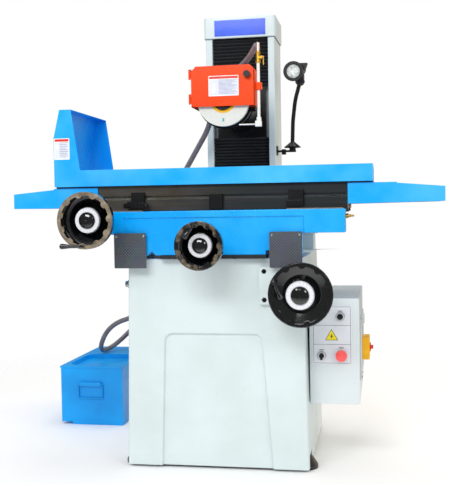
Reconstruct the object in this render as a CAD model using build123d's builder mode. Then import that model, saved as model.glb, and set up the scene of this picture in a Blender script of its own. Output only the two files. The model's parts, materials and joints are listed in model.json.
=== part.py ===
from build123d import *
import math
import os

# Manual surface grinder, millimetres, +Z up, X along the table, +Y to the rear.
# The origin is on the floor, under the middle of the column and the wheel.

# ---------------------------------------------------------------- driving sizes
wheel_radius = 100.0
wheel_width = 20.0
spindle_height = 1344.0
wheel_middle_y = -65.0
running_gap = 0.05
face_gap = 0.3

base_front = -306.0
base_back = 350.0
base_low_half = 330.0
base_top_half = 315.0
base_gap = 8.0
base_top = 757.0
base_wall = 22.0
recess_depth = 11.0
deck_top = 838.0
deck_thick = 12.0
deck_half = 328.0
deck_front = 252.0
pedestal_half = 200.0
pedestal_back = 585.0
foot_radius = 54.0
foot_height = 45.0
foot_seat = 52.0

column_half = 147.0
column_front = 344.0
column_back = 567.0
column_top = 1655.0
column_wall = 18.0
post_width = 28.0
cap_top = 1746.0
cap_half = 153.0

way_height = 28.0
way_width = 60.0
way_spread = 220.0
saddle_low = 770.0
saddle_mid = 845.0
saddle_top = 927.0
saddle_body_half = 317.0
saddle_half = 464.0
saddle_front = -335.0
saddle_back = 60.0
saddle_lip = 6.0
lip_low = 903.0

table_low = 928.0
table_top = 1019.0
table_front = -318.0
table_back = 48.0
table_left = -690.0
table_right = 747.0
body_left = -418.0
body_right = 472.0
work_top = 1052.0
work_low_x = -225.0
work_high_x = 281.0
work_front = -234.0
work_back = -30.0

tray_left = -577.0
tray_right = 558.0
tray_front = -335.0
tray_back = 70.0
tray_top = 1078.0
sheet = 2.0

rack_module = 2.0
pinion_teeth = 20
rack_middle_y = -140.0
rack_width = 16.0
long_wheel_x = -412.0
long_wheel_z = 899.0
cross_wheel_x = -17.0
cross_wheel_z = 809.0
lift_wheel_x = 318.0
lift_wheel_z = 641.0
screw_radius = 10.0
shaft_radius = 12.0

cabinet_left = 328.0
cabinet_right = 505.0
cabinet_front = -230.0
cabinet_back = 283.0
cabinet_low = 230.0
cabinet_top = 608.0

tank_left = -803.0
tank_right = -524.0
tank_front = 265.0
tank_back = 800.0
tank_low = 11.0
tank_top = 256.0
pump_x = -556.0
pump_y = 712.0

lamp_x = 214.0
lamp_y = 390.0
lamp_z = 1190.0
hose_radius = 11.0

os.makedirs("parts", exist_ok=True)


# ---------------------------------------------------------------- helpers
def block(x0, x1, y0, y1, z0, z1, mode=Mode.ADD):
    """A box given by its six faces."""
    with Locations(((x0 + x1) / 2, (y0 + y1) / 2, (z0 + z1) / 2)):
        Box(x1 - x0, y1 - y0, z1 - z0, mode=mode)


def rod_y(x, z, y0, y1, radius, mode=Mode.ADD):
    """A cylinder that lies along Y."""
    with Locations(Location((x, y0, z), (-90, 0, 0))):
        Cylinder(radius, y1 - y0, align=(Align.CENTER, Align.CENTER, Align.MIN), mode=mode)


def rod_x(y, z, x0, x1, radius, mode=Mode.ADD):
    """A cylinder that lies along X."""
    with Locations(Location((x0, y, z), (0, 90, 0))):
        Cylinder(radius, x1 - x0, align=(Align.CENTER, Align.CENTER, Align.MIN), mode=mode)


def rod_z(x, y, z0, z1, radius, mode=Mode.ADD):
    """A cylinder that stands along Z."""
    with Locations((x, y, z0)):
        Cylinder(radius, z1 - z0, align=(Align.CENTER, Align.CENTER, Align.MIN), mode=mode)


def prism_x(points, x0, x1, mode=Mode.ADD):
    """A profile of (y, z) points drawn along X."""
    with BuildSketch(Plane.YZ.offset(x0)) as profile:
        with BuildLine():
            Polyline(*points, close=True)
        make_face()
    extrude(profile.sketch, amount=x1 - x0, mode=mode)


def prism_y(points, y0, y1, mode=Mode.ADD):
    """A profile of (x, z) points drawn along Y."""
    with BuildSketch(Plane.XZ.offset(-y0)) as profile:
        with BuildLine():
            Polyline(*points, close=True)
        make_face()
    extrude(profile.sketch, amount=-(y1 - y0), mode=mode)


def turned(points, place):
    """A solid of revolution about the local Z axis, from (radius, height) points."""
    with BuildPart() as shape:
        with BuildSketch(Plane.XZ) as profile:
            with BuildLine():
                Polyline(*points, close=True)
            make_face()
        revolve(profile.sketch, axis=Axis.Z)
    return shape.part.moved(place)


def save(part, name):
    """Names a piece and writes its file."""
    part.label = name
    export_step(part, "parts/" + name + ".step")


def facing_front(x, y, z):
    """Turns a piece built along +Z so that it faces the operator, at -Y."""
    return Location((x, y, z), (90, 0, 0))


# ---------------------------------------------------------------- base casting
feet = [(300.0, -228.0), (-300.0, -228.0), (232.0, 285.0), (-232.0, 285.0)]
base_mid_y = (base_front + base_back) / 2
base_depth = base_back - base_front
with BuildPart() as base_casting:
    with BuildSketch(Plane.XY.offset(base_gap)):
        with Locations((0, base_mid_y)):
            RectangleRounded(2 * base_low_half, base_depth, 9)
    with BuildSketch(Plane.XY.offset(base_top)):
        with Locations((0, base_mid_y)):
            RectangleRounded(2 * base_top_half, base_depth, 9)
    loft()
    block(-310, 310, deck_front + 8, base_back, base_top - 1, deck_top - deck_thick)
    block(-pedestal_half, pedestal_half, base_back - 30, pedestal_back, base_gap, deck_top - 1)
    block(-deck_half, deck_half, deck_front, base_back, deck_top - deck_thick, deck_top)
    block(-214, 214, base_back - 1, pedestal_back + 6, deck_top - deck_thick, deck_top)
    inner = base_top_half - base_wall
    block(-inner, inner, base_front + base_wall, base_back - base_wall, 0, base_top - 24, Mode.SUBTRACT)
    block(-pedestal_half + 22, pedestal_half - 22, 200, pedestal_back - 22, 0, 700, Mode.SUBTRACT)
    block(-pedestal_half + 22, pedestal_half - 22, 300, pedestal_back - 22, 600, deck_top - 24, Mode.SUBTRACT)
    for foot_x, foot_y in feet:
        side = math.copysign(1, foot_x)
        near = abs(foot_x) - 62
        far = 318 if foot_y < 0 else 300
        low_x = min(side * near, side * far)
        high_x = max(side * near, side * far)
        block(low_x, high_x, foot_y - 62, foot_y + 60, foot_seat, foot_seat + 38)
        rod_z(foot_x, foot_y, 0, foot_seat, foot_radius + 4, Mode.SUBTRACT)
        rod_z(foot_x, foot_y, foot_seat - 1, foot_seat + 64, 10 + running_gap, Mode.SUBTRACT)
    with BuildSketch(Plane.XZ.offset(-base_front)) as recess:
        with BuildLine():
            Polyline((-200, 0), (-183, 487), (165, 487), (201, 0), close=True)
        make_face()
        fillet(recess.vertices().group_by(Axis.Y)[-1], 28)
    extrude(recess.sketch, amount=-recess_depth, mode=Mode.SUBTRACT)
    # the boss that carries the cross-feed nut, inside the hollow of the saddle
    block(cross_wheel_x - 26, cross_wheel_x + 26, -128, -92, base_top - 1, cross_wheel_z + 26)
    rod_y(cross_wheel_x, cross_wheel_z, -129, -91, screw_radius + running_gap, Mode.SUBTRACT)
save(base_casting.part, "base_casting")

with BuildPart() as way_rails:
    left = -way_spread
    half = way_width / 2
    crest = base_top + way_height
    shoulder = crest - 18
    profile = [(left - half, base_top), (left - half, shoulder), (left - 18, shoulder), (left, crest)]
    profile += [(left + 18, shoulder), (left + half, shoulder), (left + half, base_top)]
    prism_y(profile, -288, 244)
    block(way_spread - half, way_spread + half, -288, 244, base_top, crest)
save(way_rails.part, "way_rails")


def levelling_foot(x, y):
    """A rubber pad with its stud and the nut that the base rests on."""
    with BuildPart() as foot:
        with BuildSketch(Plane.XZ) as profile:
            with BuildLine():
                Polyline((0, 0), (foot_radius, 0), (foot_radius, 12), (34, foot_height - 4),
                         (30, foot_height), (0, foot_height), close=True)
            make_face()
        revolve(profile.sketch, axis=Axis.Z)
        rod_z(0, 0, foot_height - 1, foot_seat + 62, 10)
        with BuildSketch(Plane.XY.offset(foot_height - 1)) as nut:
            RegularPolygon(17, 6)
        extrude(nut.sketch, amount=foot_seat - foot_height + 1)
    return foot.part.moved(Location((x, y, 0)))


save(Compound(children=[levelling_foot(x, y) for x, y in feet]), "levelling_feet")

with BuildPart() as lifting_boss:
    rod_x(-236, 660, -336, -317.4, 15)
    rod_x(-236, 660, -346, -336, 11)
    rod_x(-236, 660, -347, -338, 5, Mode.SUBTRACT)
save(lifting_boss.part, "lifting_boss")

# ---------------------------------------------------------------- column
front_wall = column_front + 58
with BuildPart() as column_casting:
    block(-column_half, column_half, column_front, column_back, deck_top, column_top)
    inner_half = column_half - column_wall
    block(-inner_half, inner_half, front_wall + 24, column_back - column_wall, deck_top, column_top,
          Mode.SUBTRACT)
    open_half = column_half - post_width
    block(-open_half, open_half, column_front, front_wall, deck_top, column_top, Mode.SUBTRACT)
    # two square guide rails for the wheelhead, proud of the front wall
    for side in (-1, 1):
        rail = sorted((side * 50, side * 84))
        block(rail[0], rail[1], front_wall - 16, front_wall + 1, deck_top, column_top - 8)
save(column_casting.part, "column_casting")

with BuildPart() as column_cap:
    block(-cap_half, cap_half, column_front - 8, column_back + 5, column_top, cap_top)
    fillet(column_cap.edges().filter_by(Axis.Z), 12)
    fillet(column_cap.faces().sort_by(Axis.Z)[-1].edges(), 5)
    block(-cap_half + 6, cap_half - 6, column_front - 2, column_back - 1, column_top - 1, cap_top - 5,
          Mode.SUBTRACT)
    # lugs that rest on the column
    for x in (-130, 130):
        for y in (365, 540):
            block(x - 12, x + 12, y - 14, y + 14, column_top, cap_top - 4)
save(column_cap.part, "column_cap")

with BuildPart() as cap_plate:
    block(-107, 111, column_front - 9.5, column_front - 8, 1664, 1731)
save(cap_plate.part, "cap_plate")

carriage_half = 104.0
carriage_high = spindle_height + 108
carriage_low = spindle_height - 108
bellows_front = column_front + 6
bellows_back = column_front + 24


def bellows(z0, z1, folds):
    """A folded cover between the column posts, open at the back."""
    pitch = (z1 - z0) / folds
    points = []
    for n in range(folds):
        points.append((bellows_back - 6, z0 + n * pitch))
        points.append((bellows_front, z0 + (n + 0.5) * pitch))
    points.append((bellows_back - 6, z1))
    points.append((bellows_back, z1))
    points.append((bellows_back, z0))
    with BuildPart() as cover:
        prism_x(points, -open_half + 1, open_half - 1)
    return cover.part


save(bellows(carriage_high, column_top, 14), "upper_bellows")
save(bellows(deck_top, carriage_low, 30), "lower_bellows")

# ---------------------------------------------------------------- elevating gear bracket
with BuildPart() as lift_bracket:
    block(162, 372, base_front - 16, base_front, 594, 728)
    fillet(lift_bracket.edges().filter_by(Axis.Y), 8)
    rod_y(lift_wheel_x, lift_wheel_z, -404, base_front - 15, 42)
    rod_y(lift_wheel_x, lift_wheel_z, -410, base_front - 4, shaft_radius + running_gap, Mode.SUBTRACT)
    for z in (611, 711):
        rod_y(180, z, base_front - 17, base_front - 10, 8, Mode.SUBTRACT)
save(lift_bracket.part, "lift_bracket")

with BuildPart() as bracket_screws:
    for z in (611, 711):
        rod_y(180, z, base_front - 15, base_front - 10, 7.5)
        with BuildSketch(Plane.XZ.offset(-base_front + 15)) as socket:
            with Locations((180, z)):
                RegularPolygon(3.4, 6)
        extrude(socket.sketch, amount=-3, mode=Mode.SUBTRACT)
save(bracket_screws.part, "bracket_screws")

# ---------------------------------------------------------------- electrical cabinet
door_low_z = 296.0
door_high_z = 518.0
door_front = -128.0
door_back = 236.0
with BuildPart() as cabinet_shell:
    block(cabinet_left, cabinet_right, cabinet_front, cabinet_back, cabinet_low, cabinet_top)
    fillet(cabinet_shell.edges().filter_by(Axis.Z), 3)
    block(cabinet_left + 3, cabinet_right - sheet, cabinet_front + sheet, cabinet_back - sheet,
          cabinet_low + sheet, cabinet_top - sheet, Mode.SUBTRACT)
    block(cabinet_right - 3, cabinet_right + 1, door_front + 14, door_back - 14, door_low_z + 14,
          door_high_z - 14, Mode.SUBTRACT)
    # four stand-offs to the side of the base
    for y in (-150, 210):
        for z in (300, 560):
            reach = base_low_half - (base_low_half - base_top_half) * (z - 10 - base_gap) / (base_top - base_gap)
            block(reach, cabinet_left + 4, y - 14, y + 14, z - 10, z + 10)
    for x, z in ((438, 544), (371, 403), (441, 405)):
        rod_y(x, z, cabinet_front - 1, cabinet_front + 3, 9, Mode.SUBTRACT)
save(cabinet_shell.part, "cabinet_shell")

with BuildPart() as control_panel:
    block(339, 478, cabinet_front - 1.2, cabinet_front, 373, 582)
    for x, z in ((438, 544), (371, 403), (441, 405)):
        rod_y(x, z, cabinet_front - 6, cabinet_front, 14)
        rod_y(x, z, cabinet_front - 7, cabinet_front + 1, 9, Mode.SUBTRACT)
save(control_panel.part, "control_panel")


button_lift = 11.5


def push_button(head_radius, head_length, dome):
    """A button head on its stem, built along +Z with the panel at height 0."""
    stem = 9 - running_gap
    points = [(0, -14), (stem, -14), (stem, button_lift), (head_radius, button_lift)]
    points += [(head_radius, button_lift + head_length), (0, button_lift + head_length + dome)]
    return points


save(turned(push_button(10.5, 5, 1), facing_front(438, cabinet_front, 544)), "start_button")
save(turned(push_button(20, 9, 4), facing_front(441, cabinet_front, 405)), "stop_button")
with BuildPart() as selector_knob:
    rod_y(371, 403, cabinet_front - 12, cabinet_front + 14, 9 - running_gap)
    block(371 - 3.5, 371 + 3.5, cabinet_front - 24, cabinet_front - 11, 403 - 12, 403 + 12)
save(selector_knob.part, "selector_knob")

hinge_y = door_back + 6
with BuildPart() as cabinet_door:
    block(cabinet_right + face_gap, cabinet_right + 5, door_front, door_back, door_low_z, door_high_z)
    rod_z(cabinet_right + 5, hinge_y, door_low_z + 20, door_low_z + 60, 4)
    rod_z(cabinet_right + 5, hinge_y, door_high_z - 60, door_high_z - 20, 4)
    for z in (door_low_z + 20, door_high_z - 60):
        block(cabinet_right + 3.4, cabinet_right + 5, door_back - 1, hinge_y, z, z + 40)
    rod_x(0, 400, cabinet_right - 1, cabinet_right + 6, 6 + running_gap, Mode.SUBTRACT)
save(cabinet_door.part, "cabinet_door")

with BuildPart() as switch_body:
    block(cabinet_right + 5, cabinet_right + 32, -46, 46, 358, 442)
    fillet(switch_body.edges().filter_by(Axis.X), 6)
    rod_x(0, 400, cabinet_right + 4, cabinet_right + 33, 6 + running_gap, Mode.SUBTRACT)
save(switch_body.part, "switch_body")

with BuildPart() as switch_knob:
    rod_x(0, 400, cabinet_right + 8, cabinet_right + 33, 6)
    rod_x(0, 400, cabinet_right + 32.4, cabinet_right + 36, 17)
    block(cabinet_right + 35, cabinet_right + 45, -16, 16, 395, 405)
save(switch_knob.part, "switch_knob")

# ---------------------------------------------------------------- coolant tank
handle_x0 = -725.0
handle_x1 = -611.0
handle_z = 178.0
with BuildPart() as tank_shell:
    block(tank_left, tank_right, tank_front, tank_back, tank_low, tank_top)
    block(tank_left + 50, tank_right, tank_front, tank_back, 0, tank_low + 1)
    block(tank_left + sheet, tank_right - sheet, tank_front + sheet, tank_back - sheet, tank_low + sheet,
          tank_top - sheet, Mode.SUBTRACT)
    block(tank_left + 54, tank_right - 4, tank_front + 4, tank_back - 4, -1, tank_low - 2, Mode.SUBTRACT)
    # the rim round the sunk top
    block(tank_left - 3, tank_right + 3, tank_front - 3, tank_back + 3, tank_top - 8, tank_top)
    # the sunk return tray with a rounded outline
    with BuildSketch(Plane.XY.offset(tank_top)) as opening:
        with Locations(((tank_left + tank_right) / 2, 437)):
            RectangleRounded(tank_right - tank_left - 44, 296, 60)
    extrude(opening.sketch, amount=-20, mode=Mode.SUBTRACT)
    with BuildSketch(Plane.XY.offset(tank_top - 22)) as floor:
        with Locations(((tank_left + tank_right) / 2, 437)):
            RectangleRounded(tank_right - tank_left - 40, 300, 62)
    extrude(floor.sketch, amount=2)
    with BuildSketch(Plane.XY.offset(tank_top - 20)) as curb:
        with Locations(((tank_left + tank_right) / 2, 437)):
            RectangleRounded(tank_right - tank_left - 40, 300, 62)
            RectangleRounded(tank_right - tank_left - 44, 296, 60, mode=Mode.SUBTRACT)
    extrude(curb.sketch, amount=19)
    # the pump hole
    rod_z(pump_x, pump_y, tank_top - 9, tank_top + 1, 34, Mode.SUBTRACT)
    # the clip that holds the handle
    block(handle_x0 + 8, handle_x1 - 8, tank_front - 11, tank_front, handle_z - 8, handle_z + 10)
    rod_x(tank_front - 6, handle_z, handle_x0 + 7, handle_x1 - 7, 3 + running_gap, Mode.SUBTRACT)
save(tank_shell.part, "tank_shell")

with BuildPart() as tank_handle:
    rod_x(tank_front - 6, handle_z, handle_x0 + 3, handle_x1 - 3, 3)
    rod_x(tank_front - 6, handle_z - 60, handle_x0 + 3, handle_x1 - 3, 3)
    for x in (handle_x0 + 3, handle_x1 - 3):
        rod_z(x, tank_front - 6, handle_z - 60, handle_z, 3)
        with Locations((x, tank_front - 6, handle_z - 60), (x, tank_front - 6, handle_z)):
            Sphere(3)
save(tank_handle.part, "tank_handle")

with BuildPart() as coolant_pump:
    rod_z(pump_x, pump_y, 40, tank_top, 30)
    rod_z(pump_x, pump_y, tank_top, tank_top + 8, 52)
    rod_z(pump_x, pump_y, tank_top + 7, tank_top + 130, 40)
    rod_z(pump_x, pump_y, tank_top + 129, tank_top + 146, 43)
    rod_x(pump_y, tank_top + 96, -604, pump_x, 12)
save(coolant_pump.part, "coolant_pump")

# ---------------------------------------------------------------- coolant hose
def between(start, end, share):
    """The point at a share of the way from one point to another."""
    return tuple(a + share * (b - a) for a, b in zip(start, end))


# the hose is three pieces that meet on straight runs, one below the wheelhead and one above the deck
head_corner = (-100, 190, 1380)
drop_corner = (-107.7, 240, 1289)
tray_corner = (-299.8, 321.5, 999.4)
deck_corner = (-383, 343, 889)
head_joint = between(head_corner, drop_corner, 0.54)
deck_joint = between(tray_corner, deck_corner, 0.63)
hose_top = [(127, -60, 1545), (80, 16, 1488), (-40, 112, 1458), head_corner, head_joint]
hose_mid = [head_joint, drop_corner, tray_corner, deck_joint]
hose_low = [deck_joint, deck_corner, (-392, 430, 750), (-456, 520, 585), (-520, 552, 446), (-670, 548, 401)]
hose_low += [(-729, 545, 272), (-696, 690, 270), (-616, pump_y, tank_top + 96)]


def half_turn(a, b, c):
    """Half of the angle by which a path turns at b."""
    u = Vector(*b) - Vector(*a)
    v = Vector(*c) - Vector(*b)
    return math.radians(u.get_angle(v)) / 2


def hose(points):
    """A round hose of straight runs joined by arcs."""
    radii = []
    for n in range(1, len(points) - 1):
        before = (Vector(*points[n]) - Vector(*points[n - 1])).length
        after = (Vector(*points[n + 1]) - Vector(*points[n])).length
        turn = half_turn(points[n - 1], points[n], points[n + 1])
        radii.append(0.45 * min(before, after) / math.tan(turn))
    print("hose radii", [round(r) for r in radii])
    with BuildPart() as tube:
        with BuildLine() as path:
            FilletPolyline(*points, radius=radii)
        start = path.line @ 0
        with BuildSketch(Plane(origin=start, z_dir=path.line % 0)):
            Circle(hose_radius)
        sweep()
    length = sum(edge.length for edge in path.edges())
    print("hose length", round(length), "volume share",
          round(tube.part.volume / (length * math.pi * hose_radius**2), 4))
    return tube.part


save(hose(hose_top), "hose_at_head")
save(hose(hose_mid), "hose_flexing")
save(hose(hose_low), "hose_to_pump")

# ---------------------------------------------------------------- work lamp
with BuildPart() as lamp_bracket:
    block(column_half, column_half + 4, lamp_y - 22, lamp_y + 22, lamp_z - 32, lamp_z + 6)
    block(column_half + 3, lamp_x + 14, lamp_y - 12, lamp_y + 12, lamp_z - 20, lamp_z - 12)
    block(column_half + 22, column_half + 38, lamp_y - 14, lamp_y + 14, lamp_z - 30, lamp_z - 8)
    rod_z(lamp_x, lamp_y, lamp_z - 20, lamp_z - 2, 14)
    rod_z(lamp_x, lamp_y, lamp_z - 21, lamp_z + 1, 6 + running_gap, Mode.SUBTRACT)
save(lamp_bracket.part, "lamp_bracket")

arm_path = [(lamp_x, lamp_y, lamp_z + 18), (lamp_x + 3, lamp_y, 1300), (lamp_x + 14, lamp_y - 2, 1390),
            (lamp_x + 36, lamp_y - 6, 1466)]
with BuildPart() as lamp_arm:
    rod_z(lamp_x, lamp_y, lamp_z - 18, lamp_z + 4, 6)
    rod_z(lamp_x, lamp_y, lamp_z - 1.7, lamp_z + 3, 35)
    with Locations((lamp_x, lamp_y, lamp_z + 3)):
        Cone(33, 9, 20, align=(Align.CENTER, Align.CENTER, Align.MIN))
    with BuildLine() as arm_line:
        FilletPolyline(*arm_path, radius=[320, 300])
    with BuildSketch(Plane(origin=arm_path[0], z_dir=arm_line.line % 0)):
        Circle(8.5)
    sweep()
    with Locations(arm_path[-1]):
        Sphere(10)
    rod_x(arm_path[-1][1], arm_path[-1][2], arm_path[-1][0] - 20, arm_path[-1][0] + 20, 4)
save(lamp_arm.part, "lamp_arm")

pivot = (arm_path[-1][0], arm_path[-1][1], arm_path[-1][2])
head_x = 227.0
head_z = 1503.0
with BuildPart() as lamp_head:
    with BuildSketch(Plane.XZ.offset(-(lamp_y - 62))) as face:
        with Locations((head_x, head_z)):
            Circle(42)
    with BuildSketch(Plane.XZ.offset(-(lamp_y + 6))) as back:
        with Locations((head_x + 26, head_z + 14)):
            Circle(22)
    loft([face.sketch.faces()[0], back.sketch.faces()[0]])
    with BuildSketch(Plane.XZ.offset(-(lamp_y - 40))) as fin:
        with BuildLine():
            Polyline((head_x - 4, head_z + 37), (head_x + 57, head_z + 36), (head_x + 46, head_z + 6),
                     (head_x + 30, head_z - 20), close=True)
        make_face()
    extrude(fin.sketch, amount=-34)
    rod_y(head_x, head_z, lamp_y - 63, lamp_y - 54, 32, Mode.SUBTRACT)
    # the fork that holds the ball by its cross pin
    block(pivot[0] - 18, pivot[0] + 18, pivot[1] - 9, pivot[1] + 9, pivot[2] - 7, pivot[2] + 34)
    block(pivot[0] - 14, pivot[0] + 14, pivot[1] - 16, pivot[1] + 16, pivot[2] - 12, pivot[2] + 12,
          Mode.SUBTRACT)
    rod_x(pivot[1], pivot[2], pivot[0] - 19, pivot[0] + 19, 4 + running_gap, Mode.SUBTRACT)
save(lamp_head.part, "lamp_head")

with BuildPart() as lamp_lens:
    rod_y(head_x, head_z, lamp_y - 59, lamp_y - 54, 31.5)
save(lamp_lens.part, "lamp_lens")

# ---------------------------------------------------------------- saddle
rib_in = way_spread - way_width / 2 - 14
rib_out = way_spread + way_width / 2 + 14
crest = base_top + way_height
rack_half = rack_width / 2 + 2
v_table_y = -214.0
flat_table_y = -52.0
with BuildPart() as saddle_casting:
    block(-saddle_body_half, saddle_body_half, saddle_front, saddle_back, saddle_low, saddle_top)
    fillet(saddle_casting.edges().filter_by(Axis.Z), 14)
    block(-saddle_half, saddle_half, saddle_front, saddle_back, saddle_mid, saddle_top)
    for side in (-1, 1):
        end = sorted((side * (saddle_body_half + 6), side * saddle_half))
        block(end[0], end[1], saddle_front - saddle_lip, saddle_front + 1, saddle_mid, saddle_top)
    block(-saddle_half, saddle_half, saddle_front - saddle_lip, saddle_front + 1, lip_low, saddle_top)
    # the hollow, between the front and back walls and the two ribs over the ways
    block(-rib_in, rib_in, saddle_front + 24, saddle_back - 20, saddle_low - 1, saddle_top - 45,
          Mode.SUBTRACT)
    for side in (-1, 1):
        gap = sorted((side * rib_out, side * (saddle_body_half - 18)))
        block(gap[0], gap[1], saddle_front + 24, saddle_back - 20, saddle_low - 1, saddle_top - 45,
              Mode.SUBTRACT)
        # below its arms the body is open at the sides, and the arms narrow behind the front
        open_side = sorted((side * rib_out, side * (saddle_body_half + 1)))
        block(open_side[0], open_side[1], saddle_front + 24, saddle_back + 1, saddle_low - 1, saddle_mid,
              Mode.SUBTRACT)
        step = sorted((side * (saddle_half - 22), side * (saddle_half + 1)))
        block(step[0], step[1], saddle_front + 66, saddle_back + 1, saddle_mid - 1, saddle_top + 1,
              Mode.SUBTRACT)
    # the seats on the ways of the base
    half = way_width / 2 + running_gap * 4
    left = -way_spread
    seat = [(left - half, saddle_low - 9), (left - half, crest - 17.9), (left - 17.9, crest - 17.9),
            (left, crest)]
    seat += [(left + 17.9, crest - 17.9), (left + half, crest - 17.9), (left + half, saddle_low - 9)]
    prism_y(seat, saddle_front - 1, saddle_back + 1, Mode.SUBTRACT)
    block(way_spread - half, way_spread + half, saddle_front - 1, saddle_back + 1, saddle_low - 1, crest,
          Mode.SUBTRACT)
    # the grooves in which the table runs, and the trench of its rack
    groove = [(v_table_y - 13.1, saddle_top), (v_table_y, saddle_top - 13.1), (v_table_y + 13.1, saddle_top)]
    prism_x(groove, -saddle_half - 1, saddle_half + 1, Mode.SUBTRACT)
    block(-saddle_half - 1, saddle_half + 1, flat_table_y - 15.1, flat_table_y + 15.1, saddle_top - 10,
          saddle_top + 1, Mode.SUBTRACT)
    block(-saddle_half - 1, saddle_half + 1, rack_middle_y - rack_half, rack_middle_y + rack_half,
          saddle_top - 13, saddle_top + 1, Mode.SUBTRACT)
    # the pocket of the pinion and the bore of its shaft
    block(long_wheel_x - 26, long_wheel_x + 26, rack_middle_y - rack_half, rack_middle_y + rack_half,
          long_wheel_z - 26, saddle_top, Mode.SUBTRACT)
    rod_y(long_wheel_x, long_wheel_z, saddle_front - 20, rack_middle_y + 40, shaft_radius + running_gap,
          Mode.SUBTRACT)
    rod_y(cross_wheel_x, cross_wheel_z, saddle_front - 20, saddle_front + 30, shaft_radius + running_gap,
          Mode.SUBTRACT)
save(saddle_casting.part, "saddle_casting")

with BuildPart() as bearing_flanges:
    rod_y(long_wheel_x, long_wheel_z, saddle_front - saddle_lip - 14, saddle_front - saddle_lip, 36)
    rod_y(long_wheel_x, long_wheel_z, saddle_front - saddle_lip - 68, saddle_front - saddle_lip - 13, 24)
    rod_y(long_wheel_x, long_wheel_z, saddle_front - saddle_lip - 69, saddle_front,
          shaft_radius + running_gap, Mode.SUBTRACT)
    rod_y(cross_wheel_x, cross_wheel_z, saddle_front - 14, saddle_front, 32)
    rod_y(cross_wheel_x, cross_wheel_z, saddle_front - 74, saddle_front - 13, 22)
    rod_y(cross_wheel_x, cross_wheel_z, saddle_front - 75, saddle_front + 1, shaft_radius + running_gap,
          Mode.SUBTRACT)
save(bearing_flanges.part, "bearing_flanges")

flap_front = saddle_front - saddle_lip - 5
flap_edges = [(-353.0, -236.0), (204.0, 317.0)]
with BuildPart() as way_flaps:
    for low, high in flap_edges:
        block(low, high, flap_front, flap_front + 4.95, 725.5, 850.5)
        for x in (low + 9, high - 9):
            rod_y(x, 839, flap_front - 3, flap_front + 1, 7)
save(way_flaps.part, "way_flaps")

with BuildPart() as oil_fitting:
    rod_x(-300, 901, saddle_half, saddle_half + 10, 8)
    rod_x(-300, 901, saddle_half + 9, saddle_half + 18, 5)
    rod_x(-300, 901, saddle_half + 17, saddle_half + 29, 3)
save(oil_fitting.part, "oil_fitting")

# ---------------------------------------------------------------- table
pitch = math.pi * rack_module
rack_first = -32
rack_teeth = 76
rack_start = long_wheel_x + (rack_first - 0.5) * pitch
end_low = 946.0
with BuildPart() as table_casting:
    rim = [(table_front, table_low), (table_front, 970), (table_front + 6, 972), (table_front + 6, 979),
           (table_front, 981)]
    rim += [(table_front, table_top), (table_back, table_top), (table_back, 981), (table_back - 6, 979),
            (table_back - 6, 972)]
    rim += [(table_back, 970), (table_back, table_low)]
    prism_x(rim, body_left, body_right)
    block(table_left, table_right, table_front + 18, table_back - 18, end_low, 986)
    block(rack_start - 4, body_left + 1, rack_middle_y - 14, rack_middle_y + 14, table_low, 986)
    block(work_low_x, work_high_x, work_front, work_back, table_top - 1, work_top)
    # the runners in the grooves of the saddle
    prism_x([(v_table_y - 14, table_low), (v_table_y, table_low - 14), (v_table_y + 14, table_low)],
            body_left, body_right)
    block(body_left, body_right, flat_table_y - 15, flat_table_y + 15, saddle_top - 10, table_low)
    # the T-slot along the working surface
    middle = (work_front + work_back) / 2
    block(work_low_x - 1, work_high_x + 1, middle - 7, middle + 7, work_top - 12, work_top, Mode.SUBTRACT)
    block(work_low_x - 1, work_high_x + 1, middle - 12, middle + 12, work_top - 20, work_top - 11,
          Mode.SUBTRACT)
    # the underside is cored between the runners and the rack
    block(table_left + 60, table_right - 60, v_table_y + 24, rack_middle_y - 14, table_low, table_top - 26,
          Mode.SUBTRACT)
    block(table_left + 60, table_right - 60, rack_middle_y + 14, flat_table_y - 24, table_low,
          table_top - 26, Mode.SUBTRACT)
save(table_casting.part, "table_casting")

pitch_line = long_wheel_z + rack_module * pinion_teeth / 2
tooth_slack = 0.35
with BuildPart() as table_rack:
    lean = math.tan(math.radians(20))
    deep = 2.4
    tall = 1.9
    points = [(rack_start, table_low), (rack_start, pitch_line + deep)]
    for n in range(rack_first, rack_first + rack_teeth):
        # a tooth stands half a pitch away from each space
        tooth_x = long_wheel_x + (n + 0.5) * pitch
        thick = pitch / 4 - tooth_slack
        points.append((tooth_x - thick - deep * lean, pitch_line + deep))
        points.append((tooth_x - thick + tall * lean, pitch_line - tall))
        points.append((tooth_x + thick - tall * lean, pitch_line - tall))
        points.append((tooth_x + thick + deep * lean, pitch_line + deep))
    last = long_wheel_x + (rack_first + rack_teeth + 0.5) * pitch
    points += [(last, pitch_line + deep), (last, table_low)]
    prism_y(points, rack_middle_y - rack_width / 2, rack_middle_y + rack_width / 2)
save(table_rack.part, "table_rack")

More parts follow.
